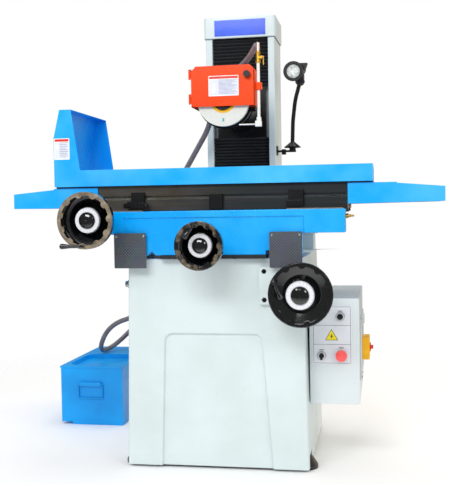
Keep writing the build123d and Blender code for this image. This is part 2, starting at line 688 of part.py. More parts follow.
hood_low = -479.0
hood_high = -510.0
hood_slant_z = 1195.0
hood_top = 1297.0
hood_top_left = -553.0
with BuildPart() as splash_tray:
    block(tray_left, tray_right, tray_front, tray_back, table_top, tray_top)
    # the hood welded on the left end, open to the right
    shape = [(tray_left, tray_top - 2), (tray_left, hood_slant_z), (hood_top_left, hood_top)]
    shape += [(hood_high, hood_top), (hood_low, tray_top - 2)]
    prism_y(shape, tray_front, tray_back)
    low_z = table_top + sheet
    block(tray_left + sheet, tray_right - sheet, tray_front + sheet, tray_back - sheet, low_z, tray_top - 2,
          Mode.SUBTRACT)
    inside = [(tray_left + sheet, tray_top - 3), (tray_left + sheet, hood_slant_z), (hood_top_left + sheet,
            hood_top - sheet)]
    inside += [(hood_low + 60, hood_top - sheet), (hood_low + 60, tray_top - 3)]
    prism_y(inside, tray_front + sheet, tray_back - sheet, Mode.SUBTRACT)
    block(hood_low, tray_right - sheet, tray_front + sheet, tray_back - sheet, tray_top - 3, tray_top + 1,
          Mode.SUBTRACT)
    block(work_low_x - 0.1, work_high_x + 0.1, work_front - 0.1, work_back + 0.1, table_top - 1,
          table_top + 3, Mode.SUBTRACT)
save(splash_tray.part, "splash_tray")


def end_guard(outer, inner):
    """A sheet-metal cover over one end of the table, open below and towards the table."""
    with BuildPart() as guard:
        prism_y(outer, table_front - 3.5, table_back + 3.5)
        prism_y(inner, table_front - 1.5, table_back + 1.5, Mode.SUBTRACT)
    return guard.part


left_outer = [(-740, 943), (-740, 996), (-585, 1010), (-585, 1014), (-418.3, 1014), (-418.3, 943)]
left_inner = [(-738, 940), (-738, 994), (-583, 1008), (-583, 1012), (-417, 1012), (-417, 940)]
right_outer = [(472.3, 943), (472.3, 1014), (638, 1014), (638, 1011), (797, 997), (797, 947)]
right_inner = [(471, 940), (471, 1012), (636, 1012), (636, 1009), (795, 995), (795, 940)]
save(Compound(children=[end_guard(left_outer, left_inner), end_guard(right_outer, right_inner)]),
     "end_guards")

with BuildPart() as stop_dogs:
    for x0, x1, z0, z1 in ((-291, -244, 957, 995), (-9, 39, 932, 985), (270, 322, 955, 996)):
        block(x0, x1, table_front - 16, table_front, z0, z1)
    for x0, x1 in ((-299, -238), (262, 322)):
        block(x0, x1, table_front - 20, table_front - 3, 938, 957.5)
save(stop_dogs.part, "stop_dogs")

# ---------------------------------------------------------------- handwheels
def hub_cap(hub_radius):
    """The domed nut that holds a handwheel on its shaft, as (radius, height) points."""
    points = [(0, 5), (hub_radius, 5), (hub_radius, 22)]
    for n in range(1, 6):
        angle = math.radians(15 * n)
        points.append((hub_radius * math.cos(angle), 22 + 12 * math.sin(angle)))
    return points + [(0, 34)]


def grip_fork():
    """Two cheeks with a pin between them. The rim's front face is at height 0, and the folded grip lies along +X."""
    with BuildPart() as fork:
        for low, high in ((-cheek_out, -cheek_in), (cheek_in, cheek_out)):
            block(-cheek_half, cheek_half, low, high, -8, pivot_height + 5)
        rod_across(-cheek_out + 0.4, cheek_out - 0.4, pin_radius)
    return fork.part


def rod_across(y0, y1, radius, mode=Mode.ADD):
    """A cylinder along Y at the height of the grip's pivot."""
    rod_y(0, pivot_height, y0, y1, radius, mode)


def folding_grip(length):
    """A handle that lies along +X, with the eye by which it turns on the pin of its fork."""
    with BuildPart() as grip:
        with BuildSketch(Plane.XZ) as profile:
            with BuildLine():
                Polyline(
                    (0, 0), (0, neck_radius), (13, neck_radius), (16, 6), (0.55 * length, 6.5), (length - 14,
                            9),
                    (length - 6, 9.5), (length - 2, 7.5), (length, 3.5), (length, 0), close=True)
            make_face()
        revolve(profile.sketch, axis=Axis.X)
        with Locations(Location((0, 0, 0), (-90, 0, 0))):
            Cylinder(6.5, 2 * neck_radius)
            Cylinder(pin_radius + running_gap, 3 * neck_radius, mode=Mode.SUBTRACT)
    return grip.part.moved(Location((0, 0, pivot_height)))


def wheel_disc(radius, ring_radius, hub_radius, rise, depth, grip_place):
    """A dished handwheel with its domed hub nut and the fork of its grip. Its front faces local +Z."""
    with BuildPart() as disc:
        with BuildSketch(Plane.XZ) as profile:
            with BuildLine():
                Polyline(
                    (shaft_radius, hub_back), (26, hub_back), (30, dish_low - 10), (ring_radius + 10,
                            dish_low - 10),
                    (radius - 17, rise - depth), (radius - 2, rise - depth), (radius, rise - depth + 3),
                    (radius, rise - 3), (radius - 3, rise), (radius - 12, rise), (radius - 13, rise - 1),
                    (radius - 13, rise - 6), (ring_radius + 5, dish_low), (ring_radius + 2, 12),
                    (ring_radius - 15, 12), (ring_radius - 15, 6), (shaft_radius, 6), close=True)
            make_face()
        revolve(profile.sketch, axis=Axis.Z)
        # rounded finger lobes stand inwards from the rim, one of them under the grip
        with BuildSketch(Plane.XY.offset(rise - 16)) as lobe_plan:
            with PolarLocations(radius - 8, lobes, start_angle=grip_place[0]):
                Circle(13)
            Circle(radius - 2, mode=Mode.INTERSECT)
        extrude(lobe_plan.sketch, amount=16)
        with BuildSketch(Plane.XZ) as dome:
            with BuildLine():
                Polyline(*hub_cap(hub_radius), close=True)
            make_face()
        revolve(dome.sketch, axis=Axis.Z)
        add(grip_fork().moved(on_rim(radius, rise, grip_place)))
    return disc.part


def on_rim(radius, rise, grip_place):
    """Where the fork of a grip stands: at an angle round the rim, with the folded grip turned to a direction."""
    angle = math.radians(grip_place[0])
    inset = radius - 11
    return Location((inset * math.cos(angle), inset * math.sin(angle), rise), (0, 0, grip_place[1]))


def dial_ring(ring_radius, hub_radius):
    """The graduated ring round the hub."""
    return [(hub_radius + 0.2, 12), (ring_radius, 12), (ring_radius - 2, 20), (hub_radius + 0.2, 20)]


lobes = 11
hub_back = -26.0
dish_low = -12.0
cheek_in = 4.3
cheek_out = 8.5
cheek_half = 7.0
neck_radius = 3.9
pin_radius = 3.0
pivot_height = 12.0
near_y = -442.0
lift_y = -444.0
# centre, rim, ring and hub radii, height and depth of the rim, grip length, its place and direction in degrees
wheels = [
    ("long", long_wheel_x, near_y, long_wheel_z, 98.5, 45.0, 29.0, 50.0, 30.0, 78.0, (265.5, 180.0)),
    ("cross", cross_wheel_x, near_y, cross_wheel_z, 83.0, 42.0, 27.0, 50.0, 30.0, 58.0, (98.0, 231.0)),
    ("lift", lift_wheel_x, lift_y, lift_wheel_z, 109.0, 48.5, 31.0, 8.0, 17.0, 64.0, (152.0, 293.0)),
]
for name, x, y, z, radius, ring_radius, hub_radius, rise, depth, grip_length, grip_place in wheels:
    place = facing_front(x, y, z)
    save(wheel_disc(radius, ring_radius, hub_radius, rise, depth, grip_place).moved(place),
         name + "_handwheel")
    save(turned(dial_ring(ring_radius, hub_radius), place), name + "_dial")
    save(folding_grip(grip_length).moved(on_rim(radius, rise, grip_place)).moved(place), name + "_grip")

with BuildPart() as pinion_shaft:
    # involute teeth that mesh with the rack under the table, one tooth pointing straight up
    base_r = rack_module * pinion_teeth / 2 * math.cos(math.radians(20))
    pitch_r = rack_module * pinion_teeth / 2
    tip_r = pitch_r + 1.9
    root_r = pitch_r - 2.5
    at_pitch = math.tan(math.acos(base_r / pitch_r)) - math.acos(base_r / pitch_r)
    half_tooth = math.pi / (2 * pinion_teeth) - tooth_slack / pitch_r

    def flank(radius):
        """The half angle of a tooth at a radius."""
        if radius <= base_r:
            return half_tooth + at_pitch
        pressure = math.acos(base_r / radius)
        return half_tooth + at_pitch - (math.tan(pressure) - pressure)

    outline = []
    steps = [root_r, base_r, 19.4, 20.0, 20.7, 21.3, tip_r]
    for n in range(pinion_teeth):
        middle = math.pi / 2 - 2 * math.pi * n / pinion_teeth
        for radius in steps:
            outline.append((radius * math.cos(middle + flank(radius)),
                            radius * math.sin(middle + flank(radius))))
        for radius in reversed(steps):
            outline.append((radius * math.cos(middle - flank(radius)),
                            radius * math.sin(middle - flank(radius))))
    outline = [(long_wheel_x + x, long_wheel_z + z) for x, z in outline]
    prism_y(outline, rack_middle_y - rack_width / 2 - 1, rack_middle_y + rack_width / 2 + 1)
    rod_y(long_wheel_x, long_wheel_z, near_y - 5, rack_middle_y + 38, shaft_radius)
save(pinion_shaft.part, "pinion_shaft")

with BuildPart() as cross_screw:
    rod_y(cross_wheel_x, cross_wheel_z, near_y - 5, saddle_front + 40, shaft_radius)
    rod_y(cross_wheel_x, cross_wheel_z, saddle_front + 39, saddle_back - 26, screw_radius)
save(cross_screw.part, "cross_screw")

with BuildPart() as lift_shaft:
    rod_y(lift_wheel_x, lift_wheel_z, lift_y - 5, base_front - 5, shaft_radius)
save(lift_shaft.part, "lift_shaft")

# ---------------------------------------------------------------- wheelhead
guard_left = -120.0
guard_right = 124.0
guard_back = -34.0
guard_front = -88.0
guard_low = 1300.0
guard_top = 1469.0
back_wall = 3.0
housing_radius = 70.0
with BuildPart() as wheelhead_casting:
    block(-carriage_half, carriage_half, bellows_back + 2, front_wall - 16.1, carriage_low, carriage_high)
    # shoes that run on the two guide rails
    for side in (-1, 1):
        shoe = sorted((side * 28, side * 49.9))
        block(shoe[0], shoe[1], front_wall - 17, front_wall - 2, carriage_low + 10, carriage_high - 10)
    rod_y(0, spindle_height, guard_back + back_wall + 46, bellows_back + 4, housing_radius)
    rod_y(0, spindle_height, guard_back + back_wall, guard_back + back_wall + 50, 52)
    # the round flange behind the wheel, to which the guard is bolted
    rod_y(0, spindle_height, guard_back, guard_back + back_wall + 23, 106)
    rod_y(0, spindle_height, 150, bellows_back + 3, housing_radius + 12)
    rod_y(0, spindle_height, guard_back - 1, 330, 24 + running_gap, Mode.SUBTRACT)
save(wheelhead_casting.part, "wheelhead_casting")

with BuildPart() as wheel_guard:
    outline = [(guard_left, 1318), (guard_left, 1452), (guard_left + 17, guard_top), (guard_right - 17,
            guard_top)]
    outline += [(guard_right, 1452), (guard_right, guard_low), (guard_right - 6, guard_low),
                (guard_left + 34, guard_low)]
    prism_y(outline, guard_front, guard_back)
    hollow = [(guard_left + 2, 1290), (guard_left + 2, 1451), (guard_left + 18, guard_top - 2),
              (guard_right - 18, guard_top - 2)]
    hollow += [(guard_right - 2, 1451), (guard_right - 2, 1290)]
    prism_y(hollow, guard_front - 1, guard_back - 2, Mode.SUBTRACT)
    rod_y(0, spindle_height, guard_back - 3, guard_back + 1, 56, Mode.SUBTRACT)
    for z in (1337, 1430):
        block(guard_left - 4, guard_left + 1, guard_front + 2, guard_front + 14, z, z + 22)
        rod_z(guard_left - 6, guard_front + 2, z, z + 22, 4)
        rod_z(guard_left - 6, guard_front + 2, z - 1, z + 23, 1.5 + running_gap, Mode.SUBTRACT)
    # the threaded boss that the knob of the cover screws into
    rod_y(96, 1433, guard_front + 6, guard_back - 1, 9)
    rod_y(96, 1433, guard_front + 5, guard_front + 36, 4 + running_gap, Mode.SUBTRACT)
    # the bracket and clamp that hold the coolant pipe
    block(guard_right - 0.5, 147, -76, -64, 1378, 1401)
    rod_z(135, -70, 1376, 1403, 14)
    rod_z(135, -70, 1375, 1404, 6 + running_gap, Mode.SUBTRACT)
save(wheel_guard.part, "wheel_guard")

cover_pivot_x = guard_left - 6
cover_pivot_y = guard_front + 2
with BuildPart() as guard_cover:
    outline = [(guard_left + 7, 1318), (guard_left + 1, 1324), (guard_left + 1, 1450), (guard_left + 18,
            guard_top + 1)]
    outline += [(guard_right - 20, guard_top + 1), (guard_right - 4, 1451), (guard_right - 4, 1318)]
    prism_y(outline, guard_front - 2.6, guard_front - 0.3)
    for z in (1337, 1430):
        for low in (z - 8, z + 22.3):
            rod_z(cover_pivot_x, cover_pivot_y, low, low + 7.7, 4)
            block(cover_pivot_x, guard_left + 3, guard_front - 2.6, guard_front - 0.5, low, low + 7.7)
        rod_z(cover_pivot_x, cover_pivot_y, z - 8, z + 30, 1.5)
    rod_y(96, 1433, guard_front - 4, guard_front, 4 + running_gap, Mode.SUBTRACT)
save(guard_cover.part, "guard_cover")

with BuildPart() as cover_knob:
    rod_y(96, 1433, guard_front - 24, guard_front - 7, 12.5)
    rod_y(96, 1433, guard_front - 7.5, guard_front - 2.6, 9)
    rod_y(96, 1433, guard_front - 5, guard_front + 20, 4)
save(cover_knob.part, "cover_knob")

wheel_front = wheel_middle_y - wheel_width / 2
wheel_back = wheel_middle_y + wheel_width / 2
with BuildPart() as spindle:
    rod_y(0, spindle_height, wheel_back + 6, 320, 24)
    rod_y(0, spindle_height, wheel_front - 12, wheel_back + 7, 15)
save(spindle.part, "spindle")

with BuildPart() as grinding_wheel:
    rod_y(0, spindle_height, wheel_front, wheel_back, wheel_radius)
    # paper blotters are glued to both faces
    rod_y(0, spindle_height, wheel_front - 0.6, wheel_back + 0.6, 50)
    rod_y(0, spindle_height, wheel_front - 1, wheel_back + 1, 15 + running_gap, Mode.SUBTRACT)
save(grinding_wheel.part, "grinding_wheel")

with BuildPart() as wheel_flanges:
    rod_y(0, spindle_height, wheel_front - 6, wheel_front - 0.6, 40)
    rod_y(0, spindle_height, wheel_front - 11, wheel_front - 5, 26)
    rod_y(0, spindle_height, wheel_back + 0.6, wheel_back + 5.9, 40)
    rod_y(0, spindle_height, wheel_front - 12, wheel_back + 7, 15 + running_gap, Mode.SUBTRACT)
save(wheel_flanges.part, "wheel_flanges")

with BuildPart() as coolant_pipe:
    rod_z(135, -70, 1250, 1476, 6)
    block(122, 145, -80, -60, 1239, 1260)
    rod_z(135, -70, 1259, 1274, 9)
    rod_x(-70, 1248, 60, 124, 3)
save(coolant_pipe.part, "coolant_pipe")

with BuildPart() as coolant_valve:
    rod_z(135, -70, 1476, 1482, 10)
    rod_z(135, -70, 1481, 1522, 8)
    rod_x(-70, 1496, 134, 152, 7)
    rod_z(135, -70, 1521, 1552, 7)
    rod_x(-70, 1496, 145, 161, 2.5 + running_gap, Mode.SUBTRACT)
save(coolant_valve.part, "coolant_valve")

with BuildPart() as valve_lever:
    rod_x(-70, 1496, 145.1, 158, 2.5)
    rod_x(-70, 1496, 152.3, 157, 6)
    block(154, 157, -74, -66, 1468, 1496)
save(valve_lever.part, "valve_lever")
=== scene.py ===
# %% [markdown]
# # Finishing a hand-fed surface grinder
# The machine arrives as a imported model, already in its place and in metres: X runs along the table, Y to the back
# and Z up. This lesson gives it paint, rubber, plastic and ground iron, softens its edges, and adds the small pieces
# that the eye expects. Nothing of the model is moved. The softened copies and most new pieces ride on the body that
# carries them. The hose, the bellows and the way flaps stay where they are laid.

# %% Load the machine
import json
import math

import bmesh
import bpy
from mathutils import Matrix, Vector


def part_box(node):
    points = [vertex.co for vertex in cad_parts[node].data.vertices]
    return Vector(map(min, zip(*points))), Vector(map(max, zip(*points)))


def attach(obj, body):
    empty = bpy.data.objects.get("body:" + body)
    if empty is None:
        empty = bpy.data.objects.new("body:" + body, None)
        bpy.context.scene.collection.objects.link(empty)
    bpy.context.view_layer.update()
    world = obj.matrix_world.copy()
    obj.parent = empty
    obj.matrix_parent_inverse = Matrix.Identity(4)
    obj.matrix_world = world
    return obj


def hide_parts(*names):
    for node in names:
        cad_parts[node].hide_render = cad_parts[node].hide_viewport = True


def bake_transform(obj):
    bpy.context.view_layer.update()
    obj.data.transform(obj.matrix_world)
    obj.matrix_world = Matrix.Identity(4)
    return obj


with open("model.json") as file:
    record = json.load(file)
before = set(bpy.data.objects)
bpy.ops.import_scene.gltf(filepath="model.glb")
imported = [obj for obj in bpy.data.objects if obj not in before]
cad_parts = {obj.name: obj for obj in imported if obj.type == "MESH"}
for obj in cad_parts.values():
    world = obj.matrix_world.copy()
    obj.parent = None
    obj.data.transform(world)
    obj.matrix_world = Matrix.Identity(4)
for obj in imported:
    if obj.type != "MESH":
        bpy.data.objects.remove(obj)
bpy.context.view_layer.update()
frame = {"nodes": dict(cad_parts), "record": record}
scene = bpy.context.scene
body_of = {node: body for body, nodes in frame["record"]["behaviour"]["bodies"].items() for node in nodes}

# %% [markdown]
# ## The camera
# A long lens a little above table height, turned so that the left end of the machine comes nearer. The three axes of
# the camera are worked out from its yaw, pitch and roll, because a matrix says exactly where it looks.

# %% Place the camera
def look_from(place, yaw, pitch, roll, lens):
    """A camera at a place, turned by three angles in radians."""
    camera = bpy.data.objects.new("camera", bpy.data.cameras.new("camera"))
    scene.collection.objects.link(camera)
    ahead = Vector((math.sin(yaw) * math.cos(pitch), math.cos(yaw) * math.cos(pitch), math.sin(pitch)))
    level = Vector((math.cos(yaw), -math.sin(yaw), 0))
    above = level.cross(ahead)
    right = math.cos(roll) * level + math.sin(roll) * above
    up = math.cos(roll) * above - math.sin(roll) * level
    camera.matrix_world = Matrix.Translation(place) @ Matrix((right, up, -ahead)).transposed().to_4x4()
    camera.data.lens = lens
    camera.data.sensor_width = 36
    return camera


scene.camera = look_from(Vector((0.5863, -3.2934, 0.9306)), -0.1788, -0.0382, -0.0160, 64.04)
print("camera", scene.camera.matrix_world.translation)

# %% [markdown]
# ## Colours and nodes
# Colours are given as sRGB hex values, and shaders want linear light, so one function turns them. One more adds a
# node with its settings and its links, and a third starts a material from its shader's plain values.

# %% Colour and node helpers
def linear(colour):
    """An sRGB hex colour as linear light."""
    parts = [int(colour[i:i + 2], 16) / 255 for i in (0, 2, 4)]
    return tuple(p / 12.92 if p <= 0.04045 else ((p + 0.055) / 1.055) ** 2.4 for p in parts) + (1.0,)


def add(tree, kind, settings=None, links=None):
    """Adds a node. Settings are its fields or its sockets' values, and links are sockets and what feeds them."""
    made = tree.nodes.new(kind)
    for name, value in (settings or {}).items():
        if isinstance(name, int) or name in made.inputs:
            made.inputs[name].default_value = value
        else:
            setattr(made, name, value)
    for name, source in (links or {}).items():
        tree.links.new(source, made.inputs[name])
    return made


def start_material(name, values):
    """A material whose shader has these plain values."""
    material = bpy.data.materials.new(name)
    material.use_nodes = True
    shader = material.node_tree.nodes["Principled BSDF"]
    for socket, value in values.items():
        shader.inputs[socket].default_value = value
    return material, material.node_tree, shader


def wire(tree, shader, colour, dull, bump):
    """Feeds a shader from the node that mixes its colour, the one that sets its roughness and its bump node."""
    tree.links.new(colour.outputs[2], shader.inputs["Base Color"])
    tree.links.new(dull.outputs["Result"], shader.inputs["Roughness"])
    tree.links.new(bump.outputs["Normal"], shader.inputs["Normal"])


def ramp_between(tree, factor, low, high):
    """Turns a factor into 0 below low and 1 above high."""
    return add(tree, "ShaderNodeMapRange", {"From Min": low, "From Max": high}, {"Value": factor}).outputs["Result"]


# %% [markdown]
# ## Sprayed enamel
# The castings are filled, rubbed down and sprayed with a thick enamel, and the sheet work is sprayed straight onto
# steel. Close up, such paint has a shallow orange peel about 1 mm across, which is drawn 9 mm across here so that it
# shows as a slight waver in the reflections. Its colour drifts a little over a hand's width, and it dulls where it is
# handled. On the blue, the lighter patches of that drift are painted reflections of bright windows. Enamel is a
# dielectric of IOR about 1.5, with a thin clear gloss.

# %% Enamel
def sprayed_enamel(name, colour, shade, rough=0.3, peel=0.25):
    """Paint of one colour that drifts towards a shade, with an orange peel."""
    material, tree, shader = start_material(name, {"IOR": 1.5, "Specular IOR Level": 0.3, "Coat Weight": 0.12,
                                                   "Coat Roughness": 0.1})
    place = add(tree, "ShaderNodeTexCoord").outputs["Object"]
    cloud = add(tree, "ShaderNodeTexNoise", {"Scale": 5.0, "Detail": 3.0, "Roughness": 0.5}, {"Vector": place})
    tint = add(tree, "ShaderNodeMix", {"data_type": "RGBA", 6: linear(colour), 7: linear(shade)},
               {0: ramp_between(tree, cloud.outputs["Fac"], 0.4, 0.72)})
    wiped = add(tree, "ShaderNodeTexNoise", {"Scale": 22.0, "Detail": 4.0, "Roughness": 0.6}, {"Vector": place})
    gloss = add(tree, "ShaderNodeMapRange", {"To Min": rough - 0.06, "To Max": rough + 0.12},
                {"Value": wiped.outputs["Fac"]})
    # specks of grit under the paint, one or two to a hand's width
    grit = add(tree, "ShaderNodeTexVoronoi", {"Scale": 28.0}, {"Vector": place})
    speck = add(tree, "ShaderNodeMapRange", {"From Min": 0.035, "From Max": 0.02},
                {"Value": grit.outputs["Distance"]})
    flecked = add(tree, "ShaderNodeMix", {"data_type": "RGBA", "blend_type": "MULTIPLY", 7: linear("B9B9B4")},
                  {0: speck.outputs["Result"], 6: tint.outputs[2]})
    orange_peel = add(tree, "ShaderNodeTexNoise", {"Scale": 110.0, "Detail": 1.0}, {"Vector": place})
    bump = add(tree, "ShaderNodeBump", {"Strength": peel, "Distance": 0.0006}, {"Height": orange_peel.outputs["Fac"]})
    wire(tree, shader, flecked, gloss, bump)
    return material


pale_enamel = sprayed_enamel("pale_grey_enamel", "D0DCDD", "C8D3D3", 0.34, 0.3)
cabinet_enamel = sprayed_enamel("cabinet_grey_enamel", "D2DADC", "CAD3D6", 0.3, 0.15)
# the blue's lighter second colour stands for reflections of bright windows: painted reflections
blue_enamel_with_painted_reflections = sprayed_enamel("blue_enamel_with_painted_reflections", "009CEE", "32B2F4", 0.24, 0.3)
tray_enamel = sprayed_enamel("light_blue_enamel_on_sheet", "0AA0F0", "4CB6F0", 0.27, 0.15)
tank_enamel = sprayed_enamel("tank_blue_enamel", "00A0EE", "0088D6", 0.33, 0.15)
orange_enamel = sprayed_enamel("orange_enamel", "EE4400", "E63A00", 0.25, 0.2)
black_enamel = sprayed_enamel("black_enamel", "0C0D0F", "131416", 0.3, 0.2)
plate_enamel = sprayed_enamel("blue_plate_enamel", "004EE0", "0046D0", 0.13, 0.05)

# %% [markdown]
# ## Iron and steel
# The table and the ways are grey iron, planed and ground along X, with a film of oil that browns them. The streaks of
# planing are a fraction of a millimetre apart and are drawn 2.5 mm apart. Screws and rods are turned steel, brighter
# and with rings that are too fine to draw.

# %% Metals
def planed_iron(name, bright, brown, rough, streak=1.0, right_end_colour=None):
    """Ground iron with long streaks along X and patches of oil."""
    material, tree, shader = start_material(name, {"Metallic": 0.85, "Coat Weight": 0.25, "Coat Roughness": 0.2})
    place = add(tree, "ShaderNodeTexCoord").outputs["Object"]
    along = add(tree, "ShaderNodeMapping", {"Scale": (3.0, 400.0, 400.0)}, {"Vector": place})
    lines = add(tree, "ShaderNodeTexNoise", {"Scale": 1.0, "Detail": 3.0}, {"Vector": along.outputs["Vector"]})
    oil = add(tree, "ShaderNodeTexNoise", {"Scale": 9.0, "Detail": 4.0, "Roughness": 0.6}, {"Vector": place})
    patch = add(tree, "ShaderNodeMix", {"data_type": "RGBA", 6: linear(bright), 7: linear(brown)},
                {0: ramp_between(tree, oil.outputs["Fac"], 0.38, 0.66)})
    if right_end_colour:
        # the colour turns darker towards the right end
        side = add(tree, "ShaderNodeSeparateXYZ", {}, {0: place})
        patch = add(tree, "ShaderNodeMix", {"data_type": "RGBA", 7: linear(right_end_colour)},
                    {0: ramp_between(tree, side.outputs["X"], -0.33, 0.12), 6: patch.outputs[2]})
    streaked = add(tree, "ShaderNodeMix", {"data_type": "RGBA", "blend_type": "MULTIPLY", 0: 0.6 * streak},
                   {6: patch.outputs[2], 7: lines.outputs["Color"]})
    dull = add(tree, "ShaderNodeMapRange", {"To Min": rough - 0.1, "To Max": rough + 0.15},
               {"Value": lines.outputs["Fac"]})
    bump = add(tree, "ShaderNodeBump", {"Strength": 0.15, "Distance": 0.0004}, {"Height": lines.outputs["Fac"]})
    wire(tree, shader, streaked, dull, bump)
    return material


def turned_metal(name, colour, shade, rough, grain=600.0):
    """Bright metal with a faint cloud of handling and a fine grain."""
    material, tree, shader = start_material(name, {"Metallic": 1.0})
    place = add(tree, "ShaderNodeTexCoord").outputs["Object"]
    cloud = add(tree, "ShaderNodeTexNoise", {"Scale": 60.0, "Detail": 3.0}, {"Vector": place})
    fine = add(tree, "ShaderNodeTexNoise", {"Scale": grain, "Detail": 2.0}, {"Vector": place})
    tint = add(tree, "ShaderNodeMix", {"data_type": "RGBA", 6: linear(colour), 7: linear(shade)},
               {0: ramp_between(tree, cloud.outputs["Fac"], 0.3, 0.7)})
    dull = add(tree, "ShaderNodeMapRange", {"To Min": rough - 0.08, "To Max": rough + 0.12},
               {"Value": fine.outputs["Fac"]})
    bump = add(tree, "ShaderNodeBump", {"Strength": 0.1, "Distance": 0.0002}, {"Height": fine.outputs["Fac"]})
    wire(tree, shader, tint, dull, bump)
    return material


table_iron = planed_iron("oiled_table_iron", "7A7870", "6A6048", 0.34, right_end_colour="484E52")
way_iron = planed_iron("ground_way_iron", "A9A9A6", "8F897C", 0.26, 0.5)
turned_steel = turned_metal("turned_steel", "B9BBBE", "9FA1A5", 0.28)
blackened_steel = turned_metal("blackened_steel", "3A3B3E", "2B2C2F", 0.36)
zinc_plate = turned_metal("zinc_plated_steel", "C9CCCF", "B4B7B0", 0.24)
brass = turned_metal("turned_brass", "C9A04A", "A87E34", 0.25)
worn_strip = turned_metal("bright_way_strip", "D9D2C2", "BFB6A2", 0.35)

# %% [markdown]
# ## Plastics and rubber
# The handwheels are moulded phenolic, the blackest and glossiest thing on the machine, because its resin skin is
# polished by the mould. Buttons are moulded ABS. The bellows are rubbered cloth, and the hose and the way flaps are
# rubber, dull and slightly grey where the sulphur blooms. The flaps carry a moulded diamond tread 7 mm apart.

# %% Moulded plastics
def moulded_plastic(name, colour, shade, rough, ior=1.49, coat=0.0, mottle=40.0):
    """A moulded plastic with a faint flow mark and fine scuffs."""
    material, tree, shader = start_material(name, {"IOR": ior, "Coat Weight": coat, "Coat Roughness": 0.05})
    place = add(tree, "ShaderNodeTexCoord").outputs["Object"]
    flow = add(tree, "ShaderNodeTexNoise", {"Scale": mottle, "Detail": 3.0}, {"Vector": place})
    tint = add(tree, "ShaderNodeMix", {"data_type": "RGBA", 6: linear(colour), 7: linear(shade)},
               {0: ramp_between(tree, flow.outputs["Fac"], 0.35, 0.7)})
    scuff = add(tree, "ShaderNodeTexNoise", {"Scale": 180.0, "Detail": 4.0, "Roughness": 0.7}, {"Vector": place})
    dull = add(tree, "ShaderNodeMapRange", {"To Min": max(rough - 0.04, 0.04), "To Max": rough + 0.14},
               {"Value": scuff.outputs["Fac"]})
    bump = add(tree, "ShaderNodeBump", {"Strength": 0.06, "Distance": 0.0003}, {"Height": scuff.outputs["Fac"]})
    wire(tree, shader, tint, dull, bump)
    return material


grip_phenolic = moulded_plastic("black_grip_phenolic", "101114", "1A1B20", 0.16, 1.6, 0.4)
black_abs = moulded_plastic("black_abs", "0D0E11", "15161A", 0.3)
red_abs = moulded_plastic("red_abs", "E23328", "CF2A22", 0.28)
mushroom_abs = moulded_plastic("red_mushroom_abs", "FF605C", "F2524E", 0.32)
yellow_abs = moulded_plastic("yellow_abs", "FFC00A", "F4B000", 0.3)
white_abs = moulded_plastic("white_pipe_plastic", "ECECE6", "DDDDD6", 0.32)
printed_film = moulded_plastic("printed_polyester_film", "DEE2E8", "D5DAE0", 0.36, mottle=12.0)
vinyl = moulded_plastic("white_vinyl_label", "F3F3F0", "E8E8E6", 0.4)
grey_ink = moulded_plastic("grey_printing_ink", "A9AEBB", "9DA2B0", 0.5)
tint_ink = moulded_plastic("lavender_tint_ink", "DADCEA", "D0D4E4", 0.5)
black_ink = moulded_plastic("black_printing_ink", "22242A", "2C2E34", 0.5)
sign_yellow = moulded_plastic("yellow_sign_film", "F7E60A", "F0DC00", 0.45)
teal_ink = moulded_plastic("teal_paint_mark", "3FB7B0", "35A59F", 0.5)


# %% Rubber and rubbered cloth
def bloomed_rubber(name, colour, bloom, rough, weave=0.0):
    """Dull rubber with a grey bloom. A weave above 0 presses a cloth of that many threads to a metre into it."""
    material, tree, shader = start_material(name, {"IOR": 1.52, "Sheen Weight": 0.15, "Sheen Roughness": 0.5})
    place = add(tree, "ShaderNodeTexCoord").outputs["Object"]
    cloud = add(tree, "ShaderNodeTexNoise", {"Scale": 35.0, "Detail": 5.0, "Roughness": 0.65}, {"Vector": place})
    tint = add(tree, "ShaderNodeMix", {"data_type": "RGBA", 6: linear(colour), 7: linear(bloom)},
               {0: ramp_between(tree, cloud.outputs["Fac"], 0.42, 0.85)})
    height = cloud.outputs["Fac"]
    if weave:
        turned = add(tree, "ShaderNodeTexWave", {"Scale": weave / 6.3, "bands_direction": "X"}, {"Vector": place})
        crossed = add(tree, "ShaderNodeTexWave", {"Scale": weave / 6.3, "bands_direction": "Z"}, {"Vector": place})
        height = add(tree, "ShaderNodeMath", {"operation": "ADD"},
                     {0: turned.outputs["Fac"], 1: crossed.outputs["Fac"]}).outputs[0]
    dull = add(tree, "ShaderNodeMapRange", {"To Min": rough - 0.08, "To Max": rough + 0.1},
               {"Value": cloud.outputs["Fac"]})
    bump = add(tree, "ShaderNodeBump", {"Strength": 0.25, "Distance": 0.0003}, {"Height": height})
    wire(tree, shader, tint, dull, bump)
    return material


bellows_cloth = bloomed_rubber("rubbered_bellows_cloth", "0A0B0E", "121317", 0.5, weave=500.0)
black_rubber = bloomed_rubber("black_foot_rubber", "131418", "222329", 0.55)
hose_rubber = bloomed_rubber("grey_braided_hose_rubber", "6E666B", "837C80", 0.34)


